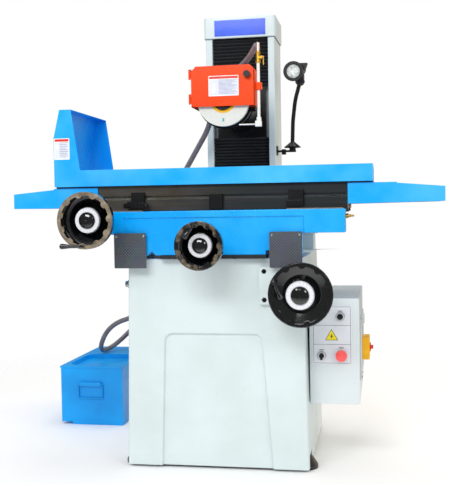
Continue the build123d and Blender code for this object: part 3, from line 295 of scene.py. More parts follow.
def diamond_tread(name, colour, groove_shade_colour, pitch):
    """Moulded rubber with a tread of diamonds: two sets of bands cross at 45 degrees."""
    material, tree, shader = start_material(name, {"IOR": 1.52})
    place = add(tree, "ShaderNodeTexCoord").outputs["Object"]
    bands = []
    for turn in (45, -45):
        tilted = add(tree, "ShaderNodeMapping", {"Rotation": (0, math.radians(turn), 0)}, {"Vector": place})
        wave = add(tree, "ShaderNodeTexWave", {"Scale": 1 / pitch / 3.2, "bands_direction": "X"},
                   {"Vector": tilted.outputs["Vector"]})
        bands.append(ramp_between(tree, wave.outputs["Fac"], 0.1, 0.45))
    tread = add(tree, "ShaderNodeMath", {"operation": "MULTIPLY"}, {0: bands[0], 1: bands[1]}).outputs[0]
    cloud = add(tree, "ShaderNodeTexNoise", {"Scale": 30.0, "Detail": 4.0}, {"Vector": place})
    # the grooves between the diamonds are painted darker: painted shade in the recesses of the tread
    tint = add(tree, "ShaderNodeMix", {"data_type": "RGBA", 6: linear(groove_shade_colour), 7: linear(colour)}, {0: tread})
    worn = add(tree, "ShaderNodeMix", {"data_type": "RGBA", "blend_type": "OVERLAY", 0: 0.35},
               {6: tint.outputs[2], 7: cloud.outputs["Color"]})
    dull = add(tree, "ShaderNodeMapRange", {"To Min": 0.32, "To Max": 0.5}, {"Value": cloud.outputs["Fac"]})
    bump = add(tree, "ShaderNodeBump", {"Strength": 0.6, "Distance": 0.0008}, {"Height": tread})
    wire(tree, shader, worn, dull, bump)
    return material


flap_rubber = diamond_tread("diamond_tread_rubber", "5C6470", "33383F", 0.007)

# %% [markdown]
# ## The wheel, the dials and the lamp glass
# The wheel is white fused alumina in a glassy bond, so it is a chalky off-white with a sparkle of grit. Grit 46 is a
# third of a millimetre across, drawn 1.5 mm across. Its paper blotter is yellow, and reaches only to half the radius:
# the same material reads the distance from the spindle's axis to tell one from the other. The dials are satin chrome
# with fine engraved divisions, drawn as an angle round the shaft.

# %% Round patterns
def round_the_axis(tree, centre):
    """The distance from a shaft that lies along Y, in metres, and the angle round it, in radians."""
    place = add(tree, "ShaderNodeTexCoord").outputs["Object"]
    shifted = add(tree, "ShaderNodeMapping", {"Location": (-centre[0], 0, -centre[1])}, {"Vector": place})
    split = add(tree, "ShaderNodeSeparateXYZ", {}, {0: shifted.outputs["Vector"]})
    angle = add(tree, "ShaderNodeMath", {"operation": "ARCTAN2"}, {0: split.outputs["Z"], 1: split.outputs["X"]})
    flat = add(tree, "ShaderNodeCombineXYZ", {}, {"X": split.outputs["X"], "Z": split.outputs["Z"]})
    radius = add(tree, "ShaderNodeVectorMath", {"operation": "LENGTH"}, {0: flat.outputs["Vector"]})
    return radius.outputs["Value"], angle.outputs[0], place


def alumina_wheel(name, centre, blotter_radius):
    """Chalky alumina outside a blotter's radius, yellow paper inside."""
    material, tree, shader = start_material(name, {"IOR": 1.6})
    radius, _, place = round_the_axis(tree, centre)
    grit = add(tree, "ShaderNodeTexVoronoi", {"Scale": 650.0}, {"Vector": place})
    grain = add(tree, "ShaderNodeMix", {"data_type": "RGBA", 6: linear("E9E9E1"), 7: linear("CFCFC6")},
                {0: grit.outputs["Color"]})
    paper = add(tree, "ShaderNodeMix", {"data_type": "RGBA", 7: linear("F2B61C")},
                {0: ramp_between(tree, radius, blotter_radius + 0.0006, blotter_radius), 6: grain.outputs[2]})
    bump = add(tree, "ShaderNodeBump", {"Strength": 0.5, "Distance": 0.0005}, {"Height": grit.outputs["Distance"]})
    dull = add(tree, "ShaderNodeMapRange", {"To Min": 0.7, "To Max": 0.95}, {"Value": grit.outputs["Distance"]})
    wire(tree, shader, paper, dull, bump)
    return material


def engraved_dial(name, centre, inner, outer, divisions):
    """Pale satin ring with engraved divisions on its outer half, every fifth one longer."""
    material, tree, shader = start_material(name, {"Metallic": 0.15, "Coat Weight": 0.3, "Coat Roughness": 0.1})
    radius, angle, place = round_the_axis(tree, centre)
    marks = []
    for count, width, start in ((divisions, 0.16, outer - 0.006), (divisions / 5, 0.05, outer - 0.010)):
        turns = add(tree, "ShaderNodeMath", {"operation": "MULTIPLY", 1: count / (2 * math.pi)}, {0: angle})
        part = add(tree, "ShaderNodeMath", {"operation": "FRACT"}, {0: turns.outputs[0]})
        line = add(tree, "ShaderNodeMath", {"operation": "LESS_THAN", 1: width}, {0: part.outputs[0]})
        ring = add(tree, "ShaderNodeMath", {"operation": "GREATER_THAN", 1: start}, {0: radius})
        marks.append(add(tree, "ShaderNodeMath", {"operation": "MULTIPLY"}, {0: line.outputs[0], 1: ring.outputs[0]}))
    both = add(tree, "ShaderNodeMath", {"operation": "MAXIMUM"}, {0: marks[0].outputs[0], 1: marks[1].outputs[0]})
    cloud = add(tree, "ShaderNodeTexNoise", {"Scale": 90.0, "Detail": 3.0}, {"Vector": place})
    chrome = add(tree, "ShaderNodeMix", {"data_type": "RGBA", 6: linear("F4F4FA"), 7: linear("E6E7EE")},
                 {0: cloud.outputs["Fac"]})
    cut = add(tree, "ShaderNodeMix", {"data_type": "RGBA", 7: linear("8A8D99")},
              {0: both.outputs[0], 6: chrome.outputs[2]})
    dull = add(tree, "ShaderNodeMapRange", {"To Min": 0.22, "To Max": 0.36}, {"Value": cloud.outputs["Fac"]})
    bump = add(tree, "ShaderNodeBump", {"Strength": 0.4, "Distance": 0.0003, "invert": True},
               {"Height": both.outputs[0]})
    wire(tree, shader, cut, dull, bump)
    return material


def lamp_glass_with_painted_reflector(name, centre, rim):
    """A lamp's front: pale glass with a painted reflection of its reflector, bright at the centre and darker towards
    its rim, and painted shade at the edges of soft facets.
    """
    material, tree, shader = start_material(name, {"IOR": 1.5, "Coat Weight": 0.8, "Coat Roughness": 0.04})
    radius, _, place = round_the_axis(tree, centre)
    facet = add(tree, "ShaderNodeTexVoronoi", {"Scale": 95.0, "feature": "SMOOTH_F1"}, {"Vector": place})
    # painted reflection: bright at the centre, darker towards the rim
    painted_reflector_glow = add(tree, "ShaderNodeMix", {"data_type": "RGBA", 6: linear("F1F3EE"), 7: linear("A9B0A8")},
               {0: ramp_between(tree, radius, 0.35 * rim, rim)})
    # painted shade along the edges of the facets
    painted_facet_shade = add(tree, "ShaderNodeMix", {"data_type": "RGBA", 7: linear("7E8A82")},
                  {0: ramp_between(tree, facet.outputs["Distance"], 0.35, 0.9), 6: painted_reflector_glow.outputs[2]})
    dull = add(tree, "ShaderNodeMapRange", {"To Min": 0.08, "To Max": 0.25}, {"Value": facet.outputs["Distance"]})
    bump = add(tree, "ShaderNodeBump", {"Strength": 0.4, "Distance": 0.001}, {"Height": facet.outputs["Distance"]})
    wire(tree, shader, painted_facet_shade, dull, bump)
    return material


def enamel_with_painted_shade_below(name, above, below, height):
    """Enamel that is painted dark below a height: painted shade on the guard's lower part, under the wheel."""
    material, tree, shader = start_material(name, {"IOR": 1.5, "Specular IOR Level": 0.3})
    place = add(tree, "ShaderNodeTexCoord").outputs["Object"]
    split = add(tree, "ShaderNodeSeparateXYZ", {}, {0: place})
    cloud = add(tree, "ShaderNodeTexNoise", {"Scale": 22.0, "Detail": 4.0}, {"Vector": place})
    # the dark colour below the height is painted shade
    tint = add(tree, "ShaderNodeMix", {"data_type": "RGBA", 6: linear(below), 7: linear(above)},
               {0: ramp_between(tree, split.outputs["Z"], height - 0.001, height)})
    dull = add(tree, "ShaderNodeMapRange", {"To Min": 0.2, "To Max": 0.38}, {"Value": cloud.outputs["Fac"]})
    orange_peel = add(tree, "ShaderNodeTexNoise", {"Scale": 110.0, "Detail": 1.0}, {"Vector": place})
    bump = add(tree, "ShaderNodeBump", {"Strength": 0.2, "Distance": 0.0006}, {"Height": orange_peel.outputs["Fac"]})
    wire(tree, shader, tint, dull, bump)
    return material


def two_metals(name, below, above, height):
    """A fitting of one metal below a height and another above it."""
    material, tree, shader = start_material(name, {"Metallic": 0.85})
    place = add(tree, "ShaderNodeTexCoord").outputs["Object"]
    split = add(tree, "ShaderNodeSeparateXYZ", {}, {0: place})
    tint = add(tree, "ShaderNodeMix", {"data_type": "RGBA", 6: linear(below), 7: linear(above)},
               {0: ramp_between(tree, split.outputs["Z"], height - 0.001, height + 0.001)})
    grain = add(tree, "ShaderNodeTexNoise", {"Scale": 400.0, "Detail": 2.0}, {"Vector": place})
    dull = add(tree, "ShaderNodeMapRange", {"To Min": 0.2, "To Max": 0.4}, {"Value": grain.outputs["Fac"]})
    bump = add(tree, "ShaderNodeBump", {"Strength": 0.1, "Distance": 0.0002}, {"Height": grain.outputs["Fac"]})
    wire(tree, shader, tint, dull, bump)
    return material


def phenolic_with_painted_rim_reflection(name, centre, radius_of_rim, front, rim_reflection_spread):
    """Polished phenolic whose rim, where hands turn it, carries on its front a painted tan reflection of the floor,
    in patches.
    """
    material, tree, shader = start_material(name, {"IOR": 1.6, "Coat Weight": 0.6, "Coat Roughness": 0.05})
    radius, _, place = round_the_axis(tree, centre)
    split = add(tree, "ShaderNodeSeparateXYZ", {}, {0: place})
    on_rim = ramp_between(tree, radius, 0.74 * radius_of_rim, 0.80 * radius_of_rim)
    on_front = ramp_between(tree, split.outputs["Y"], front + 0.006, front + 0.003)
    patchy = add(tree, "ShaderNodeTexNoise", {"Scale": 38.0, "Detail": 4.0, "Roughness": 0.6}, {"Vector": place})
    both = add(tree, "ShaderNodeMath", {"operation": "MULTIPLY"}, {0: on_rim, 1: on_front})
    rim_reflection_share = add(tree, "ShaderNodeMath", {"operation": "MULTIPLY"},
                {0: both.outputs[0], 1: ramp_between(tree, patchy.outputs["Fac"], 0.5 - rim_reflection_spread, 0.95 - 0.4 * rim_reflection_spread)})
    # the rim's front is painted tan in patches: a painted reflection of the floor, not oil or dust
    tint = add(tree, "ShaderNodeMix", {"data_type": "RGBA", 6: linear("08090B"), 7: linear("A89880")},
               {0: rim_reflection_share.outputs[0]})
    dull = add(tree, "ShaderNodeMapRange", {"To Min": 0.07, "To Max": 0.4}, {"Value": rim_reflection_share.outputs[0]})
    scuff = add(tree, "ShaderNodeTexNoise", {"Scale": 180.0, "Detail": 4.0}, {"Vector": place})
    # the moulding's edges are rounded by 2 mm, which is left to the shading
    rounded = add(tree, "ShaderNodeBevel", {"Radius": 0.002, "samples": 4})
    bump = add(tree, "ShaderNodeBump", {"Strength": 0.05, "Distance": 0.0003},
               {"Height": scuff.outputs["Fac"], "Normal": rounded.outputs["Normal"]})
    wire(tree, shader, tint, dull, bump)
    return material


def shaft_centre(node):
    """The X and Z of the shaft that a round node turns on."""
    low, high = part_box(node)
    return (low.x + high.x) / 2, (low.z + high.z) / 2


wheel_finish = {wheel: phenolic_with_painted_rim_reflection(wheel + "_handwheel_phenolic", shaft_centre(wheel + "_dial"), rim, front,
                                        rim_reflection_spread)
                for wheel, rim, front, rim_reflection_spread in (("long", 0.0985, -0.492, 0.34), ("cross", 0.083, -0.492, 0.06),
                                                ("lift", 0.109, -0.452, -0.2))}
wheel_centre = shaft_centre("grinding_wheel")
alumina = alumina_wheel("white_alumina_and_paper", wheel_centre, 0.050)
dial_finish = {wheel: engraved_dial(wheel + "_dial_satin_chrome", shaft_centre(wheel + "_dial"), inner, outer, 100)
               for wheel, inner, outer in (("long", 0.029, 0.045), ("cross", 0.027, 0.042), ("lift", 0.031, 0.0485))}
lens_glass = lamp_glass_with_painted_reflector("frosted_lamp_glass", shaft_centre("lamp_lens"), 0.0315)
guard_enamel = enamel_with_painted_shade_below("orange_enamel_painted_shade_below", "EE4400", "1C0A08", 1.3178)
capped_brass = two_metals("brass_with_rose_cap", "D6A93F", "EBD3CD", 1.521)

# %% [markdown]
# ## Every node gets its finish
# Each node of the model is given the material of the real piece. A dictionary says which, and a check says that none
# was forgotten, because a grey default is easy to miss in a corner.

# %% Give the nodes their finishes
finish_of = {
    "base_casting": pale_enamel, "way_rails": way_iron, "levelling_feet": black_rubber, "lifting_boss": turned_steel,
    "column_casting": pale_enamel, "column_cap": pale_enamel, "cap_plate": plate_enamel,
    "lift_bracket": pale_enamel, "bracket_screws": blackened_steel,
    "cabinet_shell": cabinet_enamel, "control_panel": printed_film, "start_button": black_abs,
    "stop_button": mushroom_abs, "selector_knob": black_abs, "cabinet_door": cabinet_enamel,
    "switch_body": yellow_abs, "switch_knob": red_abs,
    "tank_shell": tank_enamel, "tank_handle": tank_enamel, "coolant_pump": black_enamel,
    "lamp_bracket": black_enamel, "lamp_arm": black_enamel, "lamp_head": black_enamel, "lamp_lens": lens_glass,
    "saddle_casting": blue_enamel_with_painted_reflections, "bearing_flanges": blue_enamel_with_painted_reflections, "oil_fitting": brass,
    "table_casting": table_iron, "table_rack": turned_steel, "splash_tray": tray_enamel, "end_guards": tray_enamel,
    "stop_dogs": black_enamel, "pinion_shaft": turned_steel, "cross_screw": turned_steel, "lift_shaft": turned_steel,
    "wheelhead_casting": black_enamel, "wheel_guard": guard_enamel, "guard_cover": orange_enamel,
    "cover_knob": black_abs, "spindle": turned_steel, "grinding_wheel": alumina, "wheel_flanges": blackened_steel,
    "coolant_pipe": white_abs, "coolant_valve": capped_brass, "valve_lever": brass,
}
for wheel in ("long", "cross", "lift"):
    finish_of[wheel + "_handwheel"] = wheel_finish[wheel]
    finish_of[wheel + "_dial"] = dial_finish[wheel]
    finish_of[wheel + "_grip"] = grip_phenolic
for node, finish in finish_of.items():
    mesh = frame["nodes"][node].data
    mesh.materials.clear()
    mesh.materials.append(finish)
made_soft = {"upper_bellows", "lower_bellows", "way_flaps", "hose_at_head", "hose_flexing", "hose_to_pump"}
print("without a finish:", sorted(set(frame["nodes"]) - set(finish_of) - made_soft))

# %% [markdown]
# ## Softened edges
# No edge on a real machine is perfectly sharp. Castings are rounded by their moulds and by filler, sheet by its bend,
# and plastic by the mould, and a thin highlight runs along each. A copy of the node is merged, its flat faces are
# joined, and every sharp edge is bevelled by the width that the real piece has. The copy stands for the node.

# %% Soften the edges of the larger pieces
def in_place(name, shape, body, finishes):
    """A bmesh as a finished object that rides on a body."""
    mesh = bpy.data.meshes.new(name)
    shape.to_mesh(mesh)
    shape.free()
    piece = bpy.data.objects.new(name, mesh)
    scene.collection.objects.link(piece)
    for finish in finishes:
        mesh.materials.append(finish)
    if body:
        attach(piece, body)
    return piece


def soften(node, width, segments=2, angle=32, wide=None):
    """A copy of a node with its sharp edges rounded. Wide is a width, steps and a test of the edges it rounds."""
    shape = bmesh.new()
    shape.from_mesh(frame["nodes"][node].data)
    bmesh.ops.remove_doubles(shape, verts=shape.verts, dist=0.00002)
    bmesh.ops.dissolve_limit(shape, angle_limit=math.radians(0.6), verts=shape.verts, edges=shape.edges)
    rounds = [(width, segments, lambda edge: True)]
    if wide:
        rounds.insert(0, wide)
    for offset, steps, chosen in rounds:
        sharp = [e for e in shape.edges if e.is_manifold and e.calc_face_angle(0) > math.radians(angle) and chosen(e)]
        bmesh.ops.bevel(shape, geom=sharp, offset=offset, offset_type="OFFSET", segments=steps, profile=0.5,
                        affect="EDGES", material=-1, clamp_overlap=False)
    for face in shape.faces:
        face.smooth = True
    piece = in_place(node + "_softened", shape, body_of[node], [finish_of[node]])
    weighted = piece.modifiers.new("even shading", "WEIGHTED_NORMAL")
    weighted.keep_sharp = True
    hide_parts(node)
    return piece


def is_recess_rim(edge):
    """True for the edges where the front recess of the base meets its face."""
    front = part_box("base_casting")[0].y
    return all(abs(v.co.y - front) < 0.0008 and abs(v.co.x) < 0.204 and v.co.z < 0.5 for v in edge.verts)


for node, width in (("column_casting", 0.003), ("column_cap", 0.004), ("lift_bracket", 0.003),
                    ("cabinet_shell", 0.0012), ("cabinet_door", 0.0008), ("saddle_casting", 0.003),
                    ("bearing_flanges", 0.002), ("table_casting", 0.0012), ("splash_tray", 0.0008),
                    ("end_guards", 0.0008), ("stop_dogs", 0.0012), ("tank_shell", 0.0008),
                    ("wheel_guard", 0.0008), ("guard_cover", 0.0006), ("switch_body", 0.0015)):
    soften(node, width)
soften("base_casting", 0.004, wide=(0.007, 3, is_recess_rim))

# %% [markdown]
# ## The coolant hose
# A braided rubber hose 22 mm across runs from the tank's pump, over the tank and up behind the machine to the valve
# beside the wheel. It is about 2 m long. Its line is one smooth spline through listed points, and the tube is swept
# along that line.

# %% Lay the hose
hose_radius = 0.011
hose_points = [(0.127, -0.060, 1.545), (0.080, 0.016, 1.488), (-0.040, 0.112, 1.458), (-0.100, 0.190, 1.380),
               (-0.1077, 0.240, 1.289), (-0.190, 0.2749, 1.165), (-0.2998, 0.3215, 0.9994), (-0.383, 0.343, 0.889),
               (-0.392, 0.430, 0.750), (-0.456, 0.520, 0.585), (-0.520, 0.552, 0.446), (-0.670, 0.548, 0.401),
               (-0.729, 0.545, 0.272), (-0.696, 0.690, 0.270), (-0.616, 0.712, 0.352)]


def smooth_line(name, points, thickness=0.0, steps=24):
    """A smooth curve guided by points, as an object."""
    curve = bpy.data.curves.new(name, "CURVE")
    curve.dimensions = "3D"
    spline = curve.splines.new("NURBS")
    spline.points.add(len(points) - 1)
    for point, place in zip(spline.points, points):
        point.co = (*place, 1)
    spline.order_u = 3
    spline.use_endpoint_u = True
    spline.resolution_u = steps
    curve.bevel_depth = thickness
    curve.bevel_resolution = 5
    curve.use_fill_caps = True
    made = bpy.data.objects.new(name, curve)
    scene.collection.objects.link(made)
    return made


def shape_of(made):
    """The mesh that a curve object shows. The curve is thrown away."""
    bpy.context.view_layer.update()
    mesh = bpy.data.meshes.new_from_object(made.evaluated_get(bpy.context.evaluated_depsgraph_get()))
    curve = made.data
    bpy.data.objects.remove(made)
    bpy.data.curves.remove(curve)
    return mesh


centre_line = shape_of(smooth_line("hose_line", hose_points))
hose = bpy.data.objects.new("coolant_hose", shape_of(smooth_line("hose_tube", hose_points, hose_radius)))
scene.collection.objects.link(hose)
for face in hose.data.polygons:
    face.use_smooth = True
hose.data.materials.clear()
hose.data.materials.append(hose_rubber)
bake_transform(hose)
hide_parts("hose_at_head", "hose_flexing", "hose_to_pump")

# %% [markdown]
# ## Bellows
# The column's screw and ways hide behind two bellows of rubbered cloth, one over the wheelhead and one under it. A
# bellows is a strip folded to and fro, so it starts as a flat grid with one row of points to a fold. Every second row
# is drawn forward, and the strip gets the cloth's thickness.

# %% Fold the bellows
def folded_strip(name, node, folds):
    """A pleated strip that fills a node's box."""
    low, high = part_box(node)
    shape = bmesh.new()
    bmesh.ops.create_grid(shape, x_segments=1, y_segments=4 * folds, size=0.5)
    for vert in shape.verts:
        across, up = vert.co.x + 0.5, vert.co.y + 0.5
        fold = round(up * 4 * folds) % 4
        depth = (0.12, 0.72, 0.88, 0.28)[fold]
        vert.co = (low.x + 0.001 + across * (high.x - low.x - 0.002), high.y - depth * (high.y - low.y),
                   low.z + up * (high.z - low.z))
    bmesh.ops.recalc_face_normals(shape, faces=shape.faces)
    bmesh.ops.solidify(shape, geom=shape.faces[:], thickness=0.0012)
    for face in shape.faces:
        face.smooth = True
    piece = in_place(name, shape, None, [bellows_cloth])
    rounded = piece.modifiers.new("soft folds", "BEVEL")
    rounded.width, rounded.segments, rounded.limit_method = 0.0005, 2, "ANGLE"
    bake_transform(piece)
    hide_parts(node)
    return piece


folded_strip("upper_bellows_cloth", "upper_bellows", 14)
folded_strip("lower_bellows_cloth", "lower_bellows", 30)

# %% [markdown]
# ## Way flaps
# Two flaps of tread rubber hang from the saddle's front and keep grit off the ways. Each is held by two screws, one
# in each upper corner. They hang just clear of the base.

# %% Hang the flaps
to_front = (0, -1, 0)


def slab(shape, low, high, radius=0.0, finish=0, axis=1):
    """Adds a plate to a bmesh. Radius rounds its corners as seen along an axis."""
    made = bmesh.ops.create_cube(shape, size=1.0)["verts"]
    size = [h - l for l, h in zip(low, high)]
    bmesh.ops.scale(shape, vec=size, verts=made)
    bmesh.ops.translate(shape, vec=[(l + h) / 2 for l, h in zip(low, high)], verts=made)
    faces = {f for v in made for f in v.link_faces}
    if radius:
        corners = [e for e in {e for v in made for e in v.link_edges}
                   if abs((e.verts[0].co - e.verts[1].co)[axis]) > 0.9 * size[axis]]
        bent = bmesh.ops.bevel(shape, geom=corners, offset=radius, offset_type="OFFSET", segments=5, profile=0.5,
                               affect="EDGES", material=-1)
        faces = {f for f in faces if f.is_valid} | set(bent["faces"])
    for face in faces:
        face.material_index = finish


def lathe(shape, centre, axis, profile, finish=0, steps=28):
    """Adds a turned piece: pairs of radius and height, spun round an axis through a centre."""
    along = Vector(axis).normalized()
    side = along.orthogonal().normalized()
    verts = [shape.verts.new(Vector(centre) + side * r + along * h) for r, h in profile]
    edges = [shape.edges.new(pair) for pair in zip(verts, verts[1:])]
    before = set(shape.faces)
    bmesh.ops.spin(shape, geom=verts + edges, cent=centre, axis=along, angle=2 * math.pi, steps=steps, use_merge=True)
    made = [f for f in shape.faces if f not in before]
    bmesh.ops.remove_doubles(shape, verts=list({v for f in made for v in f.verts}), dist=0.00001)
    made = [f for f in shape.faces if f not in before]
    bmesh.ops.recalc_face_normals(shape, faces=made)
    for face in made:
        face.material_index = finish
        face.smooth = True


flap_low, flap_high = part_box("way_flaps")
flap_gap = 0.0003
flap_thick = 0.0042
for name, left, right in (("left_way_flap", flap_low.x, -0.236), ("right_way_flap", 0.204, flap_high.x)):
    flap = bmesh.new()
    slab(flap, (left, flap_low.y, flap_low.z), (right, flap_low.y + flap_thick, flap_high.z - flap_gap), 0.004)
    bmesh.ops.subdivide_edges(flap, edges=[e for e in flap.edges if abs((e.verts[0].co - e.verts[1].co).z) > 0.05],
                              cuts=11, use_grid_fill=True)
    piece = in_place(name, flap, None, [flap_rubber])
    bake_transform(piece)
    if left == flap_low.x:
        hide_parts("way_flaps")


def pan_screw(shape, x, y, z, radius):
    """A round-headed screw seen from the front, with a recess in its head."""
    lathe(shape, (x, y, z), to_front, [(radius, 0), (radius, 0.0012), (radius * 0.75, 0.0024),
                                       (radius * 0.35, 0.0028), (radius * 0.3, 0.0016), (0, 0.0016)], steps=16)


flap_screw_height, flap_screw_radius = 0.8395, 0.0052
screws = bmesh.new()
for x in (-0.344, -0.245, 0.213, 0.308):
    pan_screw(screws, x, flap_low.y, flap_screw_height, flap_screw_radius)
in_place("flap_screws", screws, "saddle", [zinc_plate])

# %% [markdown]
# ## Labels and printed film
# Labels are vinyl, a third of a millimetre thick with round corners, and carry a coloured band and rows of small
# print. The print is drawn as bars, so that it reads as text from a step away and says nothing. The panel's film has
# a printed frame and a shock-hazard triangle.

# %% Print the labels
def printed_label(name, body, left, right, low, high, face, band, rows, mark=None):
    """A label on a face that looks to -Y: white vinyl, a red band along its top, and rows of bars for print."""
    shape = bmesh.new()
    thick = 0.0003
    slab(shape, (left, face - thick, low), (right, face, high), 0.002, 0)
    edge, front = 0.0025, face - thick - 0.00012
    slab(shape, (left + edge, front, high - edge - band), (right - edge, face - thick, high - edge), 0, 1)
    pitch = (high - low - band - 4 * edge) / rows
    slab(shape, (left + edge, face - thick - 0.00006, low + edge),
         (right - edge, face - thick, high - 2 * edge - band), 0, 4)
    for row in range(rows):
        top = high - 2 * edge - band - row * pitch
        start = left + edge + (0.32 if mark else 0.02) * (right - left)
        length = (right - edge - start) * (0.96, 0.82, 0.93, 0.7, 0.88)[row % 5]
        slab(shape, (start, front, top - 0.45 * pitch), (start + length, face - thick, top), 0, 2)
    if mark:
        middle = left + edge + 0.15 * (right - left)
        for height in mark:
            slab(shape, (middle - 0.006, front, height - 0.004), (middle + 0.006, face - thick, height + 0.004),
                 0.003, 3)
    in_place(name, shape, body, [vinyl, red_abs, grey_ink, black_ink, tint_ink])


tray_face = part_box("splash_tray")[0].y
cover_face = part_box("guard_cover")[0].y
printed_label("hood_label", "table", -0.575, -0.517, 1.118, 1.194, tray_face, 0.009, 9, (1.168, 1.160))
printed_label("guard_label", "guard_cover", -0.052, 0.063, 1.356, 1.432, cover_face, 0.009, 12, (1.398, 1.386, 1.374))

panel_low, panel_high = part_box("control_panel")
panel_face = -0.2312
film = bmesh.new()
line, ink_front = 0.0011, panel_face - 0.0002
left, right, low, high = panel_low.x + 0.004, panel_high.x - 0.004, panel_low.z + 0.004, panel_high.z - 0.004
for z in (low, 0.444, 0.512, high):
    slab(film, (left, ink_front, z - line / 2), (right, panel_face, z + line / 2))
for x in (left, right):
    slab(film, (x - line / 2, ink_front, low), (x + line / 2, panel_face, high))
for x, z in ((0.438, 0.563), (0.371, 0.424), (0.441, 0.432)):
    slab(film, (x - 0.008, ink_front, z - 0.0012), (x + 0.008, panel_face, z + 0.0012))
in_place("panel_printing", film, "machine_base", [black_ink])


def flat_shape(shape, outline, front, back, finish):
    """A flat plate with an outline of X and Z points, between two depths."""
    verts = [shape.verts.new((x, back, z)) for x, z in outline]
    face = shape.faces.new(verts)
    made = bmesh.ops.extrude_face_region(shape, geom=[face])
    moved = [v for v in made["geom"] if isinstance(v, bmesh.types.BMVert)]
    bmesh.ops.translate(shape, vec=(0, front - back, 0), verts=moved)
    every = list({f for v in moved + verts for f in v.link_faces})
    bmesh.ops.recalc_face_normals(shape, faces=every)
    for f in every:
        f.material_index = finish


def triangle(x, z, size):
    """The corners of an upright triangle round a centre."""
    return [(x + size * math.cos(math.radians(a)), z + size * math.sin(math.radians(a))) for a in (90, 210, 330)]


hazard = bmesh.new()
hazard_x, hazard_z = 0.407, 0.472
flat_shape(hazard, triangle(hazard_x, hazard_z, 0.0265), panel_face - 0.0003, panel_face, 1)
flat_shape(hazard, triangle(hazard_x, hazard_z, 0.0232), panel_face - 0.0005, panel_face - 0.0003, 0)
bolt = [(0.0018, 0.0115), (-0.0050, -0.0012), (-0.0005, -0.0007), (-0.0034, -0.0102), (0.0053, 0.0026),
        (0.0005, 0.0022)]
flat_shape(hazard, [(hazard_x + x, hazard_z + z) for x, z in bolt], panel_face - 0.0007, panel_face - 0.0005, 1)
in_place("hazard_sign", hazard, "machine_base", [sign_yellow, black_ink])

# %% [markdown]
# ## Small fittings
# Seals, screws and trim give the large castings their scale: the wiper under the saddle, the bright strips on its top
# edge, the screws of the cabinet's door, the rings round the buttons, the boot of the lamp, the mark on the wheel.
# The wiper stops short of the rails on both sides, so that it passes between them when the saddle goes back.

# %% Trim
saddle_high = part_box("saddle_casting")[1]
wiper = bmesh.new()
slab(wiper, (-0.188, -0.3375, 0.7575), (0.188, -0.3245, 0.7695), 0.002, 0, 0)
in_place("saddle_wiper", wiper, "saddle", [black_rubber])

strips = bmesh.new()
for left, right in ((0.265, 0.458), (-0.372, -0.250)):
    slab(strips, (left, -0.3395, saddle_high.z), (right, -0.3225, saddle_high.z + 0.0030), 0.001)
in_place("way_strips", strips, "saddle", [worn_strip])

dog_base = bmesh.new()
slab(dog_base, (-0.314, -0.3530, 0.9385), (-0.226, -0.3385, 0.9560), 0.004, 0)
slab(dog_base, (-0.300, -0.3560, 0.9440), (-0.262, -0.3500, 0.9620), 0.003, 0)
lathe(dog_base, (-0.232, -0.3530, 0.9470), to_front,
      [(0.0062, 0), (0.0062, 0.004), (0.0045, 0.0055), (0, 0.0055)], steps=16)
in_place("stop_dog_lever_block", dog_base, "table", [black_enamel])

collars = bmesh.new()
for x, z in ((0.438, 0.544), (0.371, 0.403), (0.441, 0.405)):
    lathe(collars, (x, panel_face, z), to_front, [(0.0144, 0), (0.0158, 0), (0.0158, 0.0022), (0.0144, 0.0030)])
in_place("button_collars", collars, "machine_base", [turned_steel])

cabinet_screws = bmesh.new()
door_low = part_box("cabinet_door")[0]
for y in (door_low.y + 0.012, -0.02):
    for z in (0.306, 0.508):
        lathe(cabinet_screws, (0.510, y, z), (1, 0, 0), [(0.005, 0), (0.005, 0.0012), (0.0035, 0.0026), (0, 0.0026)],
              0, 16)
in_place("door_screws", cabinet_screws, "cabinet_door", [zinc_plate])

# black rubber strips fill the gap between the tray and the guards over both ends of the table, and stand as painted
# shade under the tray
tray_gap_strips = bmesh.new()
for left, right in ((-0.575, -0.4185), (0.4725, 0.556)):
    slab(tray_gap_strips, (left, -0.3205, 1.0125), (right, -0.3130, 1.0195), 0.001)
in_place("tray_gap_shade_strips", tray_gap_strips, "table", [black_rubber])

# a gasket round the lamp's glass and a rubber boot over its knuckle
lens_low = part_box("lamp_lens")[0]
lens_x, lens_z = shaft_centre("lamp_lens")
gasket = bmesh.new()
lathe(gasket, (lens_x, lens_low.y, lens_z), to_front, [(0.0325, 0), (0.0325, 0.0028), (0.0295, 0.0028), (0.0280, 0)])
in_place("lamp_gasket", gasket, "lamp_head", [black_rubber])
boot = bmesh.new()
knuckle, along_arm = (0.250, 0.384, 1.466), (-0.12, -0.2, 1)
lathe(boot, knuckle, along_arm, [(0, -0.019), (0.0125, -0.0155), (0.0185, -0.005), (0.0195, 0.004),
                                 (0.0205, 0.016), (0.022, 0.030), (0.010, 0.036), (0, 0.037)])
in_place("lamp_boot", boot, "lamp_head", [black_rubber])

mark = bmesh.new()
wheel_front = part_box("grinding_wheel")[0].y
slab(mark, (-0.0035, wheel_front - 0.0003, 1.262), (0.0035, wheel_front + 0.0001, 1.274), 0.001)
in_place("wheel_mark", mark, "spindle", [teal_ink])

# %% [markdown]
# ## Floor and light
# A pale floor and a soft studio: a wide light in front, a smaller one on the right, one overhead and a warm card
# behind on the right. A white surround fills the shadows, and is dim in the gloss so that only the lights glint.

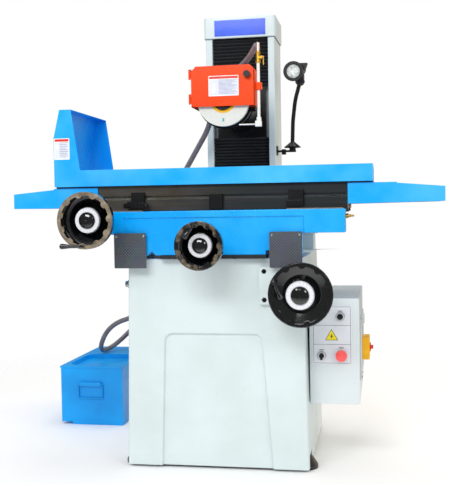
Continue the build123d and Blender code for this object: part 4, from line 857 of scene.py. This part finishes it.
# %% Floor and lights
floor_shape = bmesh.new()
bmesh.ops.create_grid(floor_shape, x_segments=1, y_segments=1, size=14)
floor = in_place("floor", floor_shape, None, [])
floor_finish, floor_tree, floor_shader = start_material("pale_studio_floor", {"Roughness": 0.6})
floor_place = add(floor_tree, "ShaderNodeTexCoord").outputs["Object"]
floor_cloud = add(floor_tree, "ShaderNodeTexNoise", {"Scale": 1.5, "Detail": 2.0}, {"Vector": floor_place})
floor_tint = add(floor_tree, "ShaderNodeMix", {"data_type": "RGBA", 6: linear("FBFBFB"), 7: linear("F6F6F6")},
                 {0: floor_cloud.outputs["Fac"]})
floor_tree.links.new(floor_tint.outputs[2], floor_shader.inputs["Base Color"])
# it fades out a few metres from the machine, so that it meets the white surround without an edge
floor_reach = add(floor_tree, "ShaderNodeVectorMath", {"operation": "LENGTH"}, {0: floor_place})
floor_shown = add(floor_tree, "ShaderNodeMapRange", {"From Min": 1.0, "From Max": 2.6, "To Min": 1.0, "To Max": 0.0},
                  {"Value": floor_reach.outputs["Value"]})
floor_tree.links.new(floor_shown.outputs["Result"], floor_shader.inputs["Alpha"])
floor.data.materials.append(floor_finish)

scene.view_settings.view_transform = "Standard"
surround = bpy.data.worlds.new("white_surround")
surround.use_nodes = True
sky = surround.node_tree
ray = add(sky, "ShaderNodeLightPath")
# bare white to the eye, softer as a light, and dim in the gloss, as in a room where only the lamps are bright
for_gloss = add(sky, "ShaderNodeMapRange", {"To Min": 0.8, "To Max": 0.2}, {"Value": ray.outputs["Is Glossy Ray"]})
for_eye = add(sky, "ShaderNodeMath", {"operation": "MAXIMUM"},
              {0: for_gloss.outputs["Result"], 1: ray.outputs["Is Camera Ray"]})
sky.links.new(for_eye.outputs[0], sky.nodes["Background"].inputs["Strength"])
sky.nodes["Background"].inputs["Color"].default_value = (1, 1, 1, 1)
scene.world = surround


def soft_light(name, place, aim, width, height, power, colour="FFFFFF"):
    """An area light of a width and a height in metres at a place, turned to an aim."""
    light = bpy.data.objects.new(name, bpy.data.lights.new(name, "AREA"))
    scene.collection.objects.link(light)
    light.data.shape = "RECTANGLE"
    light.data.size = width
    light.data.size_y = height
    light.data.energy = power
    light.data.color = linear(colour)[:3]
    light.location = place
    light.rotation_euler = (Vector(aim) - Vector(place)).to_track_quat("-Z", "Y").to_euler()


soft_light("key", (-0.7, -3.5, 3.0), (0, 0, 0.9), 2.4, 1.0, 84)
soft_light("fill", (2.8, -3.0, 2.4), (0, 0, 0.9), 1.0, 1.0, 20)
soft_light("top", (0, 0.6, 4.2), (0, 0, 0.9), 2.2, 2.2, 44)
soft_light("warm_card", (2.2, 2.4, 1.3), (0.3, 0.2, 0.7), 1.4, 1.4, 26, "FFE0B0")
